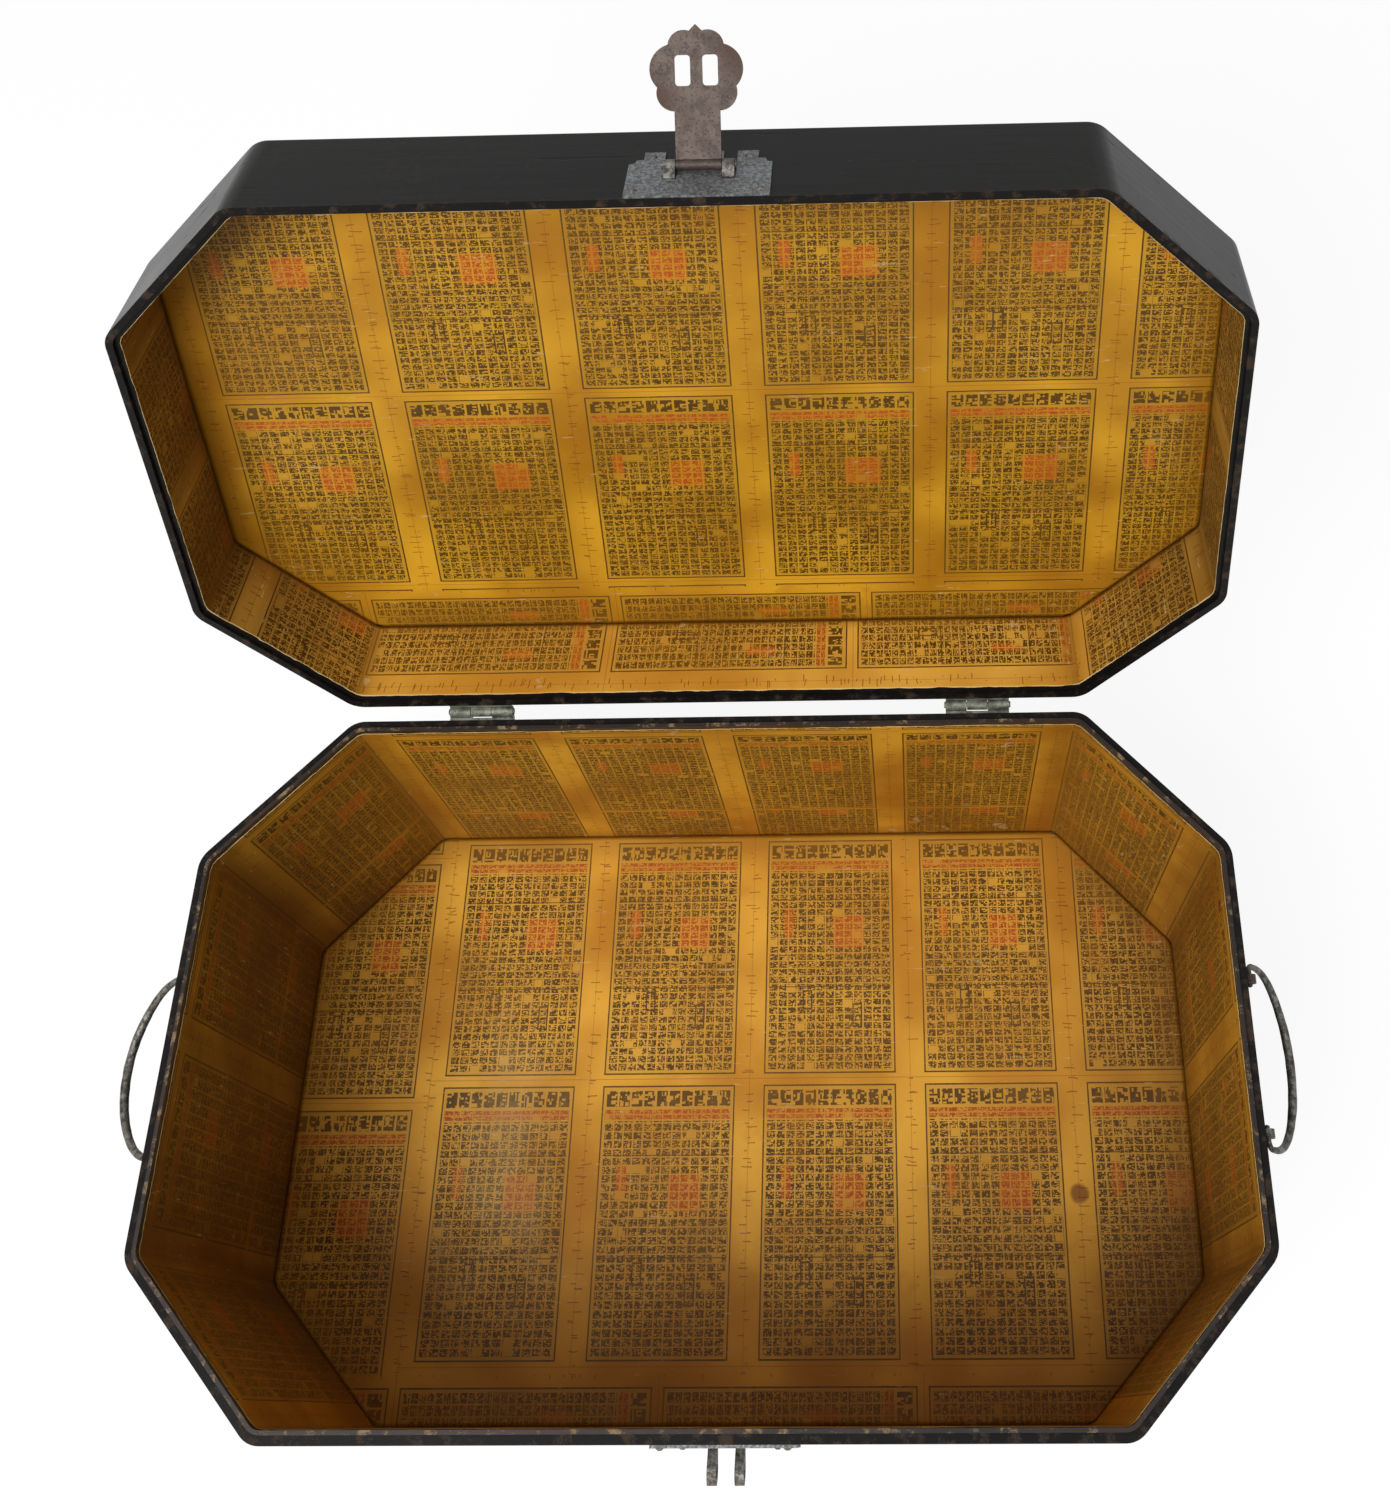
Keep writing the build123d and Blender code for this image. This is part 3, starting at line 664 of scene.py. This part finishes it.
def rounded_plan(inset_mm: float) -> np.ndarray:
    """The plan's corners as arcs, clockwise from above and from the middle of the front.

    Each corner is an arc of radius rounding less inset about a centre that doesn't depend on
    the inset; its normal turns by 45 degrees.

    Args:
        inset_mm: how far the outline is drawn in from the outside of the walls.

    Returns:
        An array of x, y round the plan, closed by its first point.
    """
    a = HALF_LENGTH_MM - ROUNDING_MM
    b = HALF_WIDTH_MM - ROUNDING_MM
    c = CORNER_CUT_MM - ROUNDING_MM * INSET_CUT
    centres = np.array([(c - a, -b), (-a, c - b), (-a, b - c), (c - a, b),
                        (a - c, b), (a, b - c), (a, c - b), (a - c, -b)])
    turn = np.radians(-90 - 45 * (np.arange(8)[:, None] + np.linspace(0, 1, 9)))
    ray = np.stack([np.cos(turn), np.sin(turn)], -1)
    arcs = centres[:, None] + (ROUNDING_MM - inset_mm) * ray
    start = np.array([[0.0, -HALF_WIDTH_MM + inset_mm]])
    return np.concatenate([start, arcs.reshape(-1, 2), start])


def run_along(line: np.ndarray, count: int) -> tuple[np.ndarray, np.ndarray]:
    """Even steps along a line, by its running length.

    Args:
        line: the line's points.
        count: the number of steps' ends.

    Returns:
        The points, and their running lengths.
    """
    run = np.concatenate([[0], np.cumsum(np.hypot(*np.diff(line, axis=0).T))])
    at = np.linspace(0, run[-1], count)
    return np.stack([np.interp(at, run, line[:, 0]), np.interp(at, run, line[:, 1])], -1), at


def half_width(y_mm: np.ndarray, inset_mm: float) -> np.ndarray:
    """Half the plan's length at each y: its right half as x over the size of y.

    Args:
        y_mm: the places along the width.
        inset_mm: how far the outline is drawn in.

    Returns:
        The half lengths in mm.
    """
    line = rounded_plan(inset_mm)
    right = line[(line[:, 0] > 1) & (line[:, 1] > 1)]
    order = np.argsort(right[:, 1])
    return np.interp(np.abs(y_mm), right[order, 1], right[order, 0])


def grid_piece(name: str, points_mm: np.ndarray, closed: bool = False, turned: bool = False,
               printed: Optional[tuple[Unfold, np.ndarray, np.ndarray]] = None,
               near: Optional[dict[str, np.ndarray]] = None) -> bpy.types.Object:
    """A piece whose faces join the points of a grid.

    Args:
        name: the piece's name.
        points_mm: rows, columns and x, y, z.
        closed: whether the last column is the first one again.
        turned: whether the faces point the other way.
        printed: what gives the print map from the corners' and the faces' two parameters, and
            the two parameters at the points.
        near: further numbers kept at the points, by name.

    Returns:
        The new object, with its place in its mesh.
    """
    rows, columns = points_mm.shape[:2]
    kept = columns - 1 if closed else columns
    index = np.arange(rows * kept).reshape(rows, kept)
    if closed:
        index = np.concatenate([index, index[:, :1]], 1)

    def corners(grid: np.ndarray) -> np.ndarray:
        """The four corners' values of each face."""
        four = [grid[:-1, :-1], grid[:-1, 1:], grid[1:, 1:], grid[1:, :-1]]
        return np.stack(four[::-1] if turned else four, -1).reshape(-1, 4)

    faces = corners(index)
    mesh = bpy.data.meshes.new(name)
    mesh.vertices.add(rows * kept)
    mesh.vertices.foreach_set("co", (points_mm[:, :kept] * MM).astype(np.float32).ravel())
    mesh.loops.add(faces.size)
    mesh.loops.foreach_set("vertex_index", faces.astype(np.int32).ravel())
    mesh.polygons.add(len(faces))
    mesh.polygons.foreach_set("loop_start", np.arange(0, faces.size, 4, dtype=np.int32))
    mesh.update(calc_edges=True)
    mesh.polygons.foreach_set("use_smooth", np.ones(len(faces), bool))
    if printed is not None:
        unfold, *parameters = printed
        a, b = (corners(grid) for grid in parameters)
        uv = unfold(a, b, a.mean(1, keepdims=True), b.mean(1, keepdims=True))
        layer = mesh.uv_layers.new(name="print")
        layer.uv.foreach_set("vector", np.stack(uv, -1).astype(np.float32).ravel())
    for label, grid in (near or {}).items():
        mesh.attributes.new(label, "FLOAT", "POINT").data.foreach_set(
            "value", grid[:, :kept].astype(np.float32).ravel())
    mesh.validate()
    piece = bpy.data.objects.new(name, mesh)
    bpy.context.scene.collection.objects.link(piece)
    return piece


def fit(piece: bpy.types.Object, finish: Finish, body: str, node: str) -> None:
    """Dresses a piece and sets it in a node's place on a body.

    Args:
        piece: the new piece.
        finish: its finish.
        body: the body that it rides on.
        node: the node that it replaces.
    """
    piece.data.materials.append(finish.material())
    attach(piece, body)
    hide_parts(node)
    LOG.info("%s in place of %s", piece.name, node)


# ---------------- paper lining

FLOOR_SPLIT_MM = 17.5
FLOOR_TURN_MM = -158.0
WALL_SEAM_MM = 74.5
CEILING_SPLIT_MM = -12.2
CEILING_TURN_MM = 154.0


@dataclass(frozen=True)
class Ruler:
    """One axis of a row of panels: what the print map reads at a place, and its rate."""

    place_mm: float
    print_mm: float = 0.0
    rate: float = 1.0

    def read(self, place: np.ndarray) -> np.ndarray:
        """The print map at places along the axis."""
        return self.print_mm + (place - self.place_mm) * self.rate


@dataclass(frozen=True)
class Sheet:
    """One sheet of the lining, with its level or its fold, and a wall sheet's torn edge.

    rows is the number of even rows between the fold and the torn edge, and cuts_mm are the
    places where the print map jumps, which get a row of their own.
    """

    name: str
    node: str
    paper: PrintedPaper
    seed: int
    fold_mm: float
    cuts_mm: tuple[float, ...] = ()
    edge_mm: float = 0.0
    rows: int = 0
    tear_mm: float = 0.0

    @property
    def in_lid(self) -> bool:
        """Whether the sheet rides on the lid."""
        return self.paper.in_lid


@dataclass
class Lining:
    """The printed paper pasted inside the base and the lid."""

    step_mm: float = 3.0
    slack_mm: float = 0.14
    sheet_mm: float = 0.25
    flat_inset_mm: float = WALL_MM + 0.3
    wall_insets_mm: tuple[float, float] = (WALL_MM + 0.15, WALL_MM + 0.55)
    wall_columns: int = 500
    torn_row_mm: float = 1.5
    # Each paper's ends set how strongly painted shade darkens its left and its right end.
    floor: Sheet = Sheet(
        "floor_lining", "base_floor_paper",
        PrintedPaper("floor_paper_varnished", ends=(0.0, 0.5), haze=0.2,
                     bright=tone(238, 178, 62), deep=tone(190, 126, 28),
                     field=tone(196, 150, 56)),
        3, WALL_MM + 0.42, (FLOOR_SPLIT_MM, FLOOR_TURN_MM))
    walls: Sheet = Sheet(
        "wall_lining", "base_wall_paper",
        PrintedPaper("wall_paper_varnished", ends=(0.66, 0.34),
                     bright=tone(232, 170, 46), deep=tone(180, 116, 20)),
        5, WALL_MM + 0.35, (WALL_SEAM_MM,), RIM_MM - 2.0, 56, 1.1)
    ceiling: Sheet = Sheet(
        "ceiling_lining", "lid_top_paper",
        PrintedPaper("ceiling_paper_varnished", in_lid=True),
        13, CEILING_MM - 0.42, (CEILING_SPLIT_MM, CEILING_TURN_MM))
    # On the lid walls the painted shade in the corners reaches only 10 mm from the folds.
    lid_walls: Sheet = Sheet(
        "lid_wall_lining", "lid_wall_paper",
        PrintedPaper("lid_wall_paper_varnished", in_lid=True, ends=(0.68, 0.62), corner_shade_mm=10.0,
                     bright=tone(244, 188, 78), deep=tone(204, 142, 44),
                     field=tone(200, 154, 60)),
        15, CEILING_MM - 0.35, (), LID_RIM_MM + 2.7, 20, 0.9)
    floor_u: Ruler = Ruler(-221.5)
    floor_v: tuple[Ruler, Ruler] = (Ruler(FLOOR_SPLIT_MM), Ruler(FLOOR_SPLIT_MM, 0, 168 / 172))
    floor_slip_mm: float = 14.0
    floor_turned: tuple[Ruler, Ruler] = (Ruler(FLOOR_TURN_MM, 3, -1), Ruler(-222.2, 0, 168 / 173))
    wall_u: Ruler = Ruler(-221.3, 0, 113.75 / 110.3)
    wall_v: tuple[Ruler, Ruler] = (Ruler(77, 3.5, 161 / 169.5), Ruler(0, 28))
    ceiling_u: Ruler = Ruler(-192, 0, 113.75 / 111)
    ceiling_v: Ruler = Ruler(CEILING_SPLIT_MM, 0, -168 / 161)
    ceiling_lean: float = 0.012
    ceiling_turned: tuple[Ruler, Ruler] = (Ruler(161, 10), Ruler(-233.5, 3.5, 168 / 167))
    lid_back_mm: float = 232.0
    lid_back: tuple[Ruler, Ruler] = (Ruler(282.5, 10), Ruler(-232, 3.5, 168 / 161.5))
    lid_sides: tuple[Ruler, Ruler] = (Ruler(12, 0, 1.03), Ruler(LID_RIM_MM, 40))

    def floor_print(self, x: np.ndarray, y: np.ndarray, mid_x: np.ndarray,
                    mid_y: np.ndarray) -> tuple[np.ndarray, np.ndarray]:
        """Two rows of upright panels, and a turned row cut off by the front wall.

        Args:
            x, y: the corners' places.
            mid_x, mid_y: the faces' middles.

        Returns:
            The print map.
        """
        slip = np.where(mid_x < self.floor_u.place_mm, self.floor_slip_mm, 0.0)
        behind, before = (ruler.read(y) for ruler in self.floor_v)
        upright = np.where(mid_y + slip > FLOOR_SPLIT_MM, behind, before) + slip
        turned = mid_y < FLOOR_TURN_MM
        return (np.where(turned, self.floor_turned[0].read(y), self.floor_u.read(x)),
                np.where(turned, self.floor_turned[1].read(x), upright))

    def wall_print(self, s: np.ndarray, z: np.ndarray, mid_s: np.ndarray,
                   mid_z: np.ndarray) -> tuple[np.ndarray, np.ndarray]:
        """Upright panels round the walls, over a lower strip without a heading."""
        above, below = (ruler.read(z) for ruler in self.wall_v)
        return self.wall_u.read(s), np.where(mid_z > WALL_SEAM_MM, above, below)

    def ceiling_print(self, x: np.ndarray, y: np.ndarray, mid_x: np.ndarray,
                      mid_y: np.ndarray) -> tuple[np.ndarray, np.ndarray]:
        """Two rows of upright panels with their heads to the front, and a turned row.

        Args:
            x, y: the corners' places in the shut lid.
            mid_x, mid_y: the faces' middles; mid_x is not used.

        Returns:
            The print map.
        """
        turned = mid_y > CEILING_TURN_MM
        upright = self.ceiling_u.read(x + y * self.ceiling_lean)
        return (np.where(turned, self.ceiling_turned[0].read(y), upright),
                np.where(turned, self.ceiling_turned[1].read(x), self.ceiling_v.read(y)))

    def lid_wall_print(self, s: np.ndarray, z: np.ndarray, mid_s: np.ndarray,
                       mid_z: np.ndarray) -> tuple[np.ndarray, np.ndarray]:
        """Turned panels on the back wall, upright ones cut short on the others."""
        back = np.abs(mid_s) < self.lid_back_mm
        return (np.where(back, self.lid_back[0].read(z), self.lid_sides[0].read(s)),
                np.where(back, self.lid_back[1].read(s), self.lid_sides[1].read(z)))

    def wall_gap(self, x: np.ndarray, y: np.ndarray) -> np.ndarray:
        """How far a place in the plan is from the nearest wall: the least over the eight sides.

        Args:
            x, y: the places.

        Returns:
            The distances in mm.
        """
        a, b = HALF_LENGTH_MM - self.flat_inset_mm, HALF_WIDTH_MM - self.flat_inset_mm
        c = CORNER_CUT_MM - self.flat_inset_mm * INSET_CUT
        slant = (a + b - c - np.abs(x) - np.abs(y)) / math.sqrt(2)
        return np.minimum(np.minimum(a - np.abs(x), b - np.abs(y)), slant)

    def corner_gap(self, s: np.ndarray) -> np.ndarray:
        """How far a run from the middle of the back is from the nearest corner of the walls.

        Args:
            s: the runs.

        Returns:
            The distances in mm.
        """
        cut = CORNER_CUT_MM - WALL_MM * INSET_CUT
        half_run = float(np.abs(s).max())
        first = HALF_LENGTH_MM - WALL_MM - cut
        second = first + cut * math.sqrt(2)
        at = np.array([first, second, half_run - second, half_run - first])
        return np.abs(np.abs(s)[..., None] - at).min(-1)

    def flat_piece(self, sheet: Sheet, unfold: Unfold) -> bpy.types.Object:
        """A sheet over the plan: x runs from -w(y) to w(y), and z is the level and the slack.

        Args:
            sheet: the sheet on the floor or the ceiling.
            unfold: its print map.

        Returns:
            The new piece.
        """
        reach = HALF_WIDTH_MM - self.flat_inset_mm
        rows = np.linspace(-reach, reach, int(2 * reach / self.step_mm) + 1)
        rows = np.unique(np.concatenate([rows, sheet.cuts_mm]))
        share = np.linspace(-1, 1, int(2 * HALF_LENGTH_MM / self.step_mm) + 1)
        y = np.repeat(rows[:, None], len(share), 1)
        x = half_width(rows, self.flat_inset_mm)[:, None] * share
        z = sheet.fold_mm + self.slack_mm * ripple(x, y, sheet.seed)
        points = np.stack([x, y, z], -1)
        # fold_mm, the distance from the walls, sets the painted shade in the corners of the paper.
        near = {"fold_mm": self.wall_gap(x, y), "edge_mm": np.full_like(x, 99.0)}
        return grid_piece(sheet.name, opened(points) if sheet.in_lid else points,
                          turned=sheet.in_lid, printed=(unfold, x, y), near=near)

    def wall_piece(self, sheet: Sheet, unfold: Unfold) -> bpy.types.Object:
        """A sheet round the walls: between two insets of the plan by its slack, torn at an edge.

        Args:
            sheet: the sheet on the base's or the lid's walls.
            unfold: its print map.

        Returns:
            The new piece.
        """
        inwards = math.copysign(1.0, sheet.fold_mm - sheet.edge_mm)
        even = np.linspace(sheet.fold_mm, sheet.edge_mm + inwards * self.torn_row_mm, sheet.rows)
        levels = np.unique(np.concatenate([even, [sheet.edge_mm, *sheet.cuts_mm]]))
        (outer, s), (inner, _) = (run_along(rounded_plan(inset), self.wall_columns)
                                  for inset in self.wall_insets_mm)
        z, s = np.meshgrid(levels, s - s[-1] / 2, indexing="ij")
        torn = sheet.tear_mm * np.abs(ripple(s * 2.5, np.zeros_like(s), sheet.seed + 3))
        torn = torn * (np.abs(z - sheet.edge_mm) < 0.1)
        share = (0.6 + 0.35 * ripple(s, z, sheet.seed))[..., None]
        flat = outer[None] * (1 - share) + inner[None] * share
        points = np.concatenate([flat, (z + inwards * torn)[..., None]], -1)
        # fold_mm, the distance from the wall corners and the fold, sets the painted shade in the
        # corners of the paper.
        near = {"fold_mm": np.minimum(self.corner_gap(s), np.abs(z - sheet.fold_mm)),
                "edge_mm": np.abs(z - sheet.edge_mm)}
        return grid_piece(sheet.name, opened(points) if sheet.in_lid else points,
                          closed=True, printed=(unfold, s, z), near=near)

    def build(self) -> None:
        """Makes the four sheets, gives each its thickness and sets it in its place."""
        for sheet, shape, unfold in (
                (self.floor, self.flat_piece, self.floor_print),
                (self.walls, self.wall_piece, self.wall_print),
                (self.ceiling, self.flat_piece, self.ceiling_print),
                (self.lid_walls, self.wall_piece, self.lid_wall_print)):
            piece = shape(sheet, unfold)
            thickness = piece.modifiers.new("thickness", "SOLIDIFY")
            thickness.thickness = self.sheet_mm * MM
            thickness.offset = -1.0
            fit(piece, sheet.paper, "lid" if sheet.in_lid else "base", sheet.node)


# ---------------- carcass and fittings


@dataclass
class Carcass:
    """The boards of the base and the lid, and the lip."""

    rim_mm: float = RIM_MM
    lid_rim_mm: float = LID_RIM_MM
    sides: tuple[str, ...] = ("right", "back_right", "back", "back_left", "left", "front_left",
                              "front", "front_right")

    def dress(self) -> None:
        """Lacquers the boards and the lip, and leaves the underside bare."""
        base = Lacquer("base_lacquer", False, self.rim_mm)
        lid = Lacquer("lid_lacquer", True, self.lid_rim_mm)
        base.dress(*(f"base_{side}_board" for side in self.sides))
        lid.dress(*(f"lid_{side}_board" for side in self.sides), "lid_top_board")
        LipLacquer().dress("base_lip")
        BareBoard().dress("base_floor_board")
        LOG.info("carcass dressed")


@dataclass
class Fittings:
    """The hinges, the hasp with its plates, lugs and eyes, and the nails."""

    ends: tuple[str, str] = ("left", "right")
    hinge_parts: tuple[str, ...] = ("base_leaf", "lid_leaf", "pin")
    forged: tuple[str, ...] = (
        "base_hinge_nails", "lid_hinge_nails", "base_lock_plate_nails", "lid_lock_plate_nails",
        "lock_eyes", "hasp_lugs", "hasp_pin", "left_handle_posts", "right_handle_posts")

    def dress(self) -> None:
        """Puts each kind of iron on its nodes."""
        IronFinish(Iron.HINGE).dress(
            *(f"{end}_hinge_{part}" for end in self.ends for part in self.hinge_parts))
        IronFinish(Iron.FORGED).dress(*self.forged)
        IronFinish(Iron.HASP).dress("hasp")
        IronFinish(Iron.PLATE).dress("base_lock_plate", "lid_lock_plate")
        LOG.info("fittings dressed")


@dataclass
class Bail:
    """A forged bail handle that swells to its grip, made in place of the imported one."""

    end: str
    outward: float
    drop_deg: float
    seed: int
    span_mm: float = 102.0
    reach_mm: float = 48.0
    grip_mm: float = 3.0
    end_mm: float = 1.8
    bend_mm: float = 5.0
    taper_mm: float = 4.0
    shoulder_mm: float = 31.0
    tail_mm: float = 38.0
    plain_mm: float = 17.0
    dents: float = 0.05
    skin_mm: float = 0.07
    tip: float = 0.02
    sides: int = 28
    stations: int = 220

    def centre_line(self) -> np.ndarray:
        """Half of the bail's line, from its tail in the post to the top of its arch.

        A straight tail, a quarter turn, a short straight, a shoulder arc and the crown arc,
        each tangent to the next; x is along the trunk's end and y away from it.

        Returns:
            Points in mm.
        """
        half = self.span_mm / 2
        foot = half - self.bend_mm
        spring = self.bend_mm + self.taper_mm
        rise = self.reach_mm - spring
        reach = half - self.shoulder_mm
        crown = (reach**2 + rise**2 - self.shoulder_mm**2) / (2 * (rise - self.shoulder_mm))
        meeting = math.atan2(crown - rise, reach)
        quarter = np.linspace(-math.pi / 2, 0, 24)
        shoulder = np.linspace(0, meeting, 60)
        top = np.linspace(meeting, math.pi / 2, 60)
        arcs = [(foot, self.bend_mm, self.bend_mm, quarter),
                (reach, spring, self.shoulder_mm, shoulder),
                (0.0, self.reach_mm - crown, crown, top[1:])]
        runs = [np.stack([x + radius * np.cos(turn), y + radius * np.sin(turn)], -1)
                for x, y, radius, turn in arcs]
        return np.concatenate([np.array([[self.tail_mm, 0.0]]), *runs])

    def build(self) -> None:
        """Carries a hammered ring along the line: radius from the ends' to the grip's by a sine."""
        half = self.centre_line()
        flat, at = run_along(np.concatenate([half, (half * (-1, 1))[-2::-1]]), self.stations)
        ahead = np.gradient(flat, axis=0)
        ahead /= np.linalg.norm(ahead, axis=1, keepdims=True)
        swell = np.clip((at - self.plain_mm) / (at[-1] - 2 * self.plain_mm), 0, 1)[:, None]
        swell = np.sin(math.pi * swell)
        radius = self.end_mm + (self.grip_mm - self.end_mm) * swell ** 0.7
        turn = np.linspace(0, 2 * math.pi, self.sides + 1)
        dented = ripple(at[:, None] * 3.0, 14 * np.cos(turn)[None], self.seed) * swell ** 0.5
        ring = (radius - self.skin_mm) * (1 + self.dents * (dented - (dented != 0)))
        ring[[0, -1]] *= self.tip
        x = flat[:, :1] + ring * np.cos(turn) * ahead[:, 1:]
        y = flat[:, 1:] - ring * np.cos(turn) * ahead[:, :1]
        lift = ring * np.sin(turn)
        joint = next(j for j in frame["joints"] if j["name"] == f"{self.end}_handle_swing")
        drop = math.radians(self.drop_deg)
        away = np.array([self.outward * math.cos(drop), 0.0, -math.sin(drop)])
        normal = np.array([self.outward * math.sin(drop), 0.0, math.cos(drop)])
        points = (np.array(joint["pos_m"]) / MM + x[..., None] * np.array([0.0, 1.0, 0.0])
                  + y[..., None] * away + lift[..., None] * normal)
        piece = grid_piece(f"{self.end}_bail", points, closed=True, turned=self.outward < 0)
        fit(piece, IronFinish(Iron.FORGED), f"{self.end}_handle",
            f"{self.end}_handle")


# ---------------- studio


@dataclass(frozen=True)
class Lamp:
    """A square softbox, its place and the point that it faces."""

    name: str
    place: Place
    aim: Place
    size: float
    watts: float

    def build(self) -> None:
        """Adds the lamp, with its back to the line from its place to its aim."""
        data = bpy.data.lights.new(self.name, "AREA")
        data.size = self.size
        data.energy = self.watts
        lamp = bpy.data.objects.new(self.name, data)
        towards = Vector(self.aim) - Vector(self.place)
        turn = towards.to_track_quat("-Z", "Y").to_matrix().to_4x4()
        lamp.matrix_world = Matrix.Translation(self.place) @ turn
        bpy.context.scene.collection.objects.link(lamp)


@dataclass
class Studio:
    """The camera at the photograph's angle, soft light and a pale floor."""

    camera_place: Place = (0.120624, -0.183443, 1.397799)
    yaw: float = -0.0479
    pitch: float = 0.9804
    roll: float = -0.0612
    lens_mm: float = 43.035
    shift: tuple[float, float] = (-0.1003, -0.3529)
    key: Lamp = Lamp("key_light", (-0.9, -1.3, 2.7), (0.0, 0.1, 0.15), 1.5, 80.0)
    fill: Lamp = Lamp("fill_light", (1.7, -0.9, 1.9), (0.0, 0.1, 0.2), 1.5, 5.0)
    world_level: float = 0.2
    floor_reach: float = 14.0
    floor_glow: float = 1.08
    floor_glow_share: float = 0.84

    def camera(self) -> None:
        """Turns the camera by yaw, pitch and roll: its columns are right, up and backwards."""
        forward = Vector((math.sin(self.yaw) * math.cos(self.pitch),
                          math.cos(self.yaw) * math.cos(self.pitch), -math.sin(self.pitch)))
        level = forward.cross(Vector((0, 0, 1))).normalized()
        upright = level.cross(forward)
        right = level * math.cos(self.roll) + upright * math.sin(self.roll)
        up = upright * math.cos(self.roll) - level * math.sin(self.roll)
        data = bpy.data.cameras.new("camera")
        data.lens = self.lens_mm
        data.shift_x, data.shift_y = self.shift
        holder = bpy.data.objects.new("camera", data)
        turn = Matrix((right, up, -forward)).transposed().to_4x4()
        holder.matrix_world = Matrix.Translation(self.camera_place) @ turn
        bpy.context.scene.collection.objects.link(holder)
        bpy.context.scene.camera = holder

    def seen(self, web: Web) -> Value:
        """1 for rays from the camera or a gloss or a glass, otherwise 0."""
        return reduce(Value.most, [
            web.node("ShaderNodeLightPath", {}, {}, name)
            for name in ("Is Camera Ray", "Is Glossy Ray", "Is Transmission Ray")])

    def world(self) -> None:
        """White to the eye and in reflections, and dimmer as light on the trunk."""
        world = bpy.data.worlds.new("studio")
        world.use_nodes = True
        web = Web(world.node_tree)
        web.feed(world.node_tree.nodes["Background"], {
            "Color": (1.0, 1.0, 1.0),
            "Strength": self.world_level + self.seen(web) * (1 - self.world_level)})
        bpy.context.scene.world = world

    def floor(self) -> None:
        """A wide floor: mostly plain white where it is seen, with the trunk's shadow in it."""
        reach = np.linspace(-self.floor_reach, self.floor_reach, 9) / MM
        y, x = np.meshgrid(reach, reach, indexing="ij")
        piece = grid_piece("studio_floor", np.stack([x, y, np.zeros_like(x)], -1))
        material = bpy.data.materials.new("studio_floor_white")
        material.use_nodes = True
        web = Web(material.node_tree)
        matt = material.node_tree.nodes["Principled BSDF"]
        web.feed(matt, {"Base Color": (0.8, 0.8, 0.8), "Roughness": 0.9,
                        "Specular IOR Level": 0.0})
        white = web.node("ShaderNodeEmission", {},
                         {"Color": (1.0, 1.0, 1.0), "Strength": self.floor_glow})
        both = web.node("ShaderNodeMixShader", {}, {
            0: self.seen(web) * self.floor_glow_share, 1: Value(web, matt.outputs[0]), 2: white})
        web.feed(material.node_tree.nodes["Material Output"], {"Surface": both})
        piece.data.materials.append(material)

    def build(self) -> None:
        """Sets up the camera, the lamps, the world and the floor."""
        self.camera()
        self.key.build()
        self.fill.build()
        self.world()
        self.floor()
        bpy.context.scene.view_settings.view_transform = "Standard"
        LOG.info("studio ready")


def main() -> None:
    """Builds the studio and the trunk."""
    logging.basicConfig(level=logging.INFO, format="%(message)s")
    Studio().build()
    Carcass().dress()
    Fittings().dress()
    Lining().build()
    Bail("left", -1.0, 32.0, 31).build()
    Bail("right", 1.0, 57.0, 37).build()


if __name__ == "__main__":
    main()
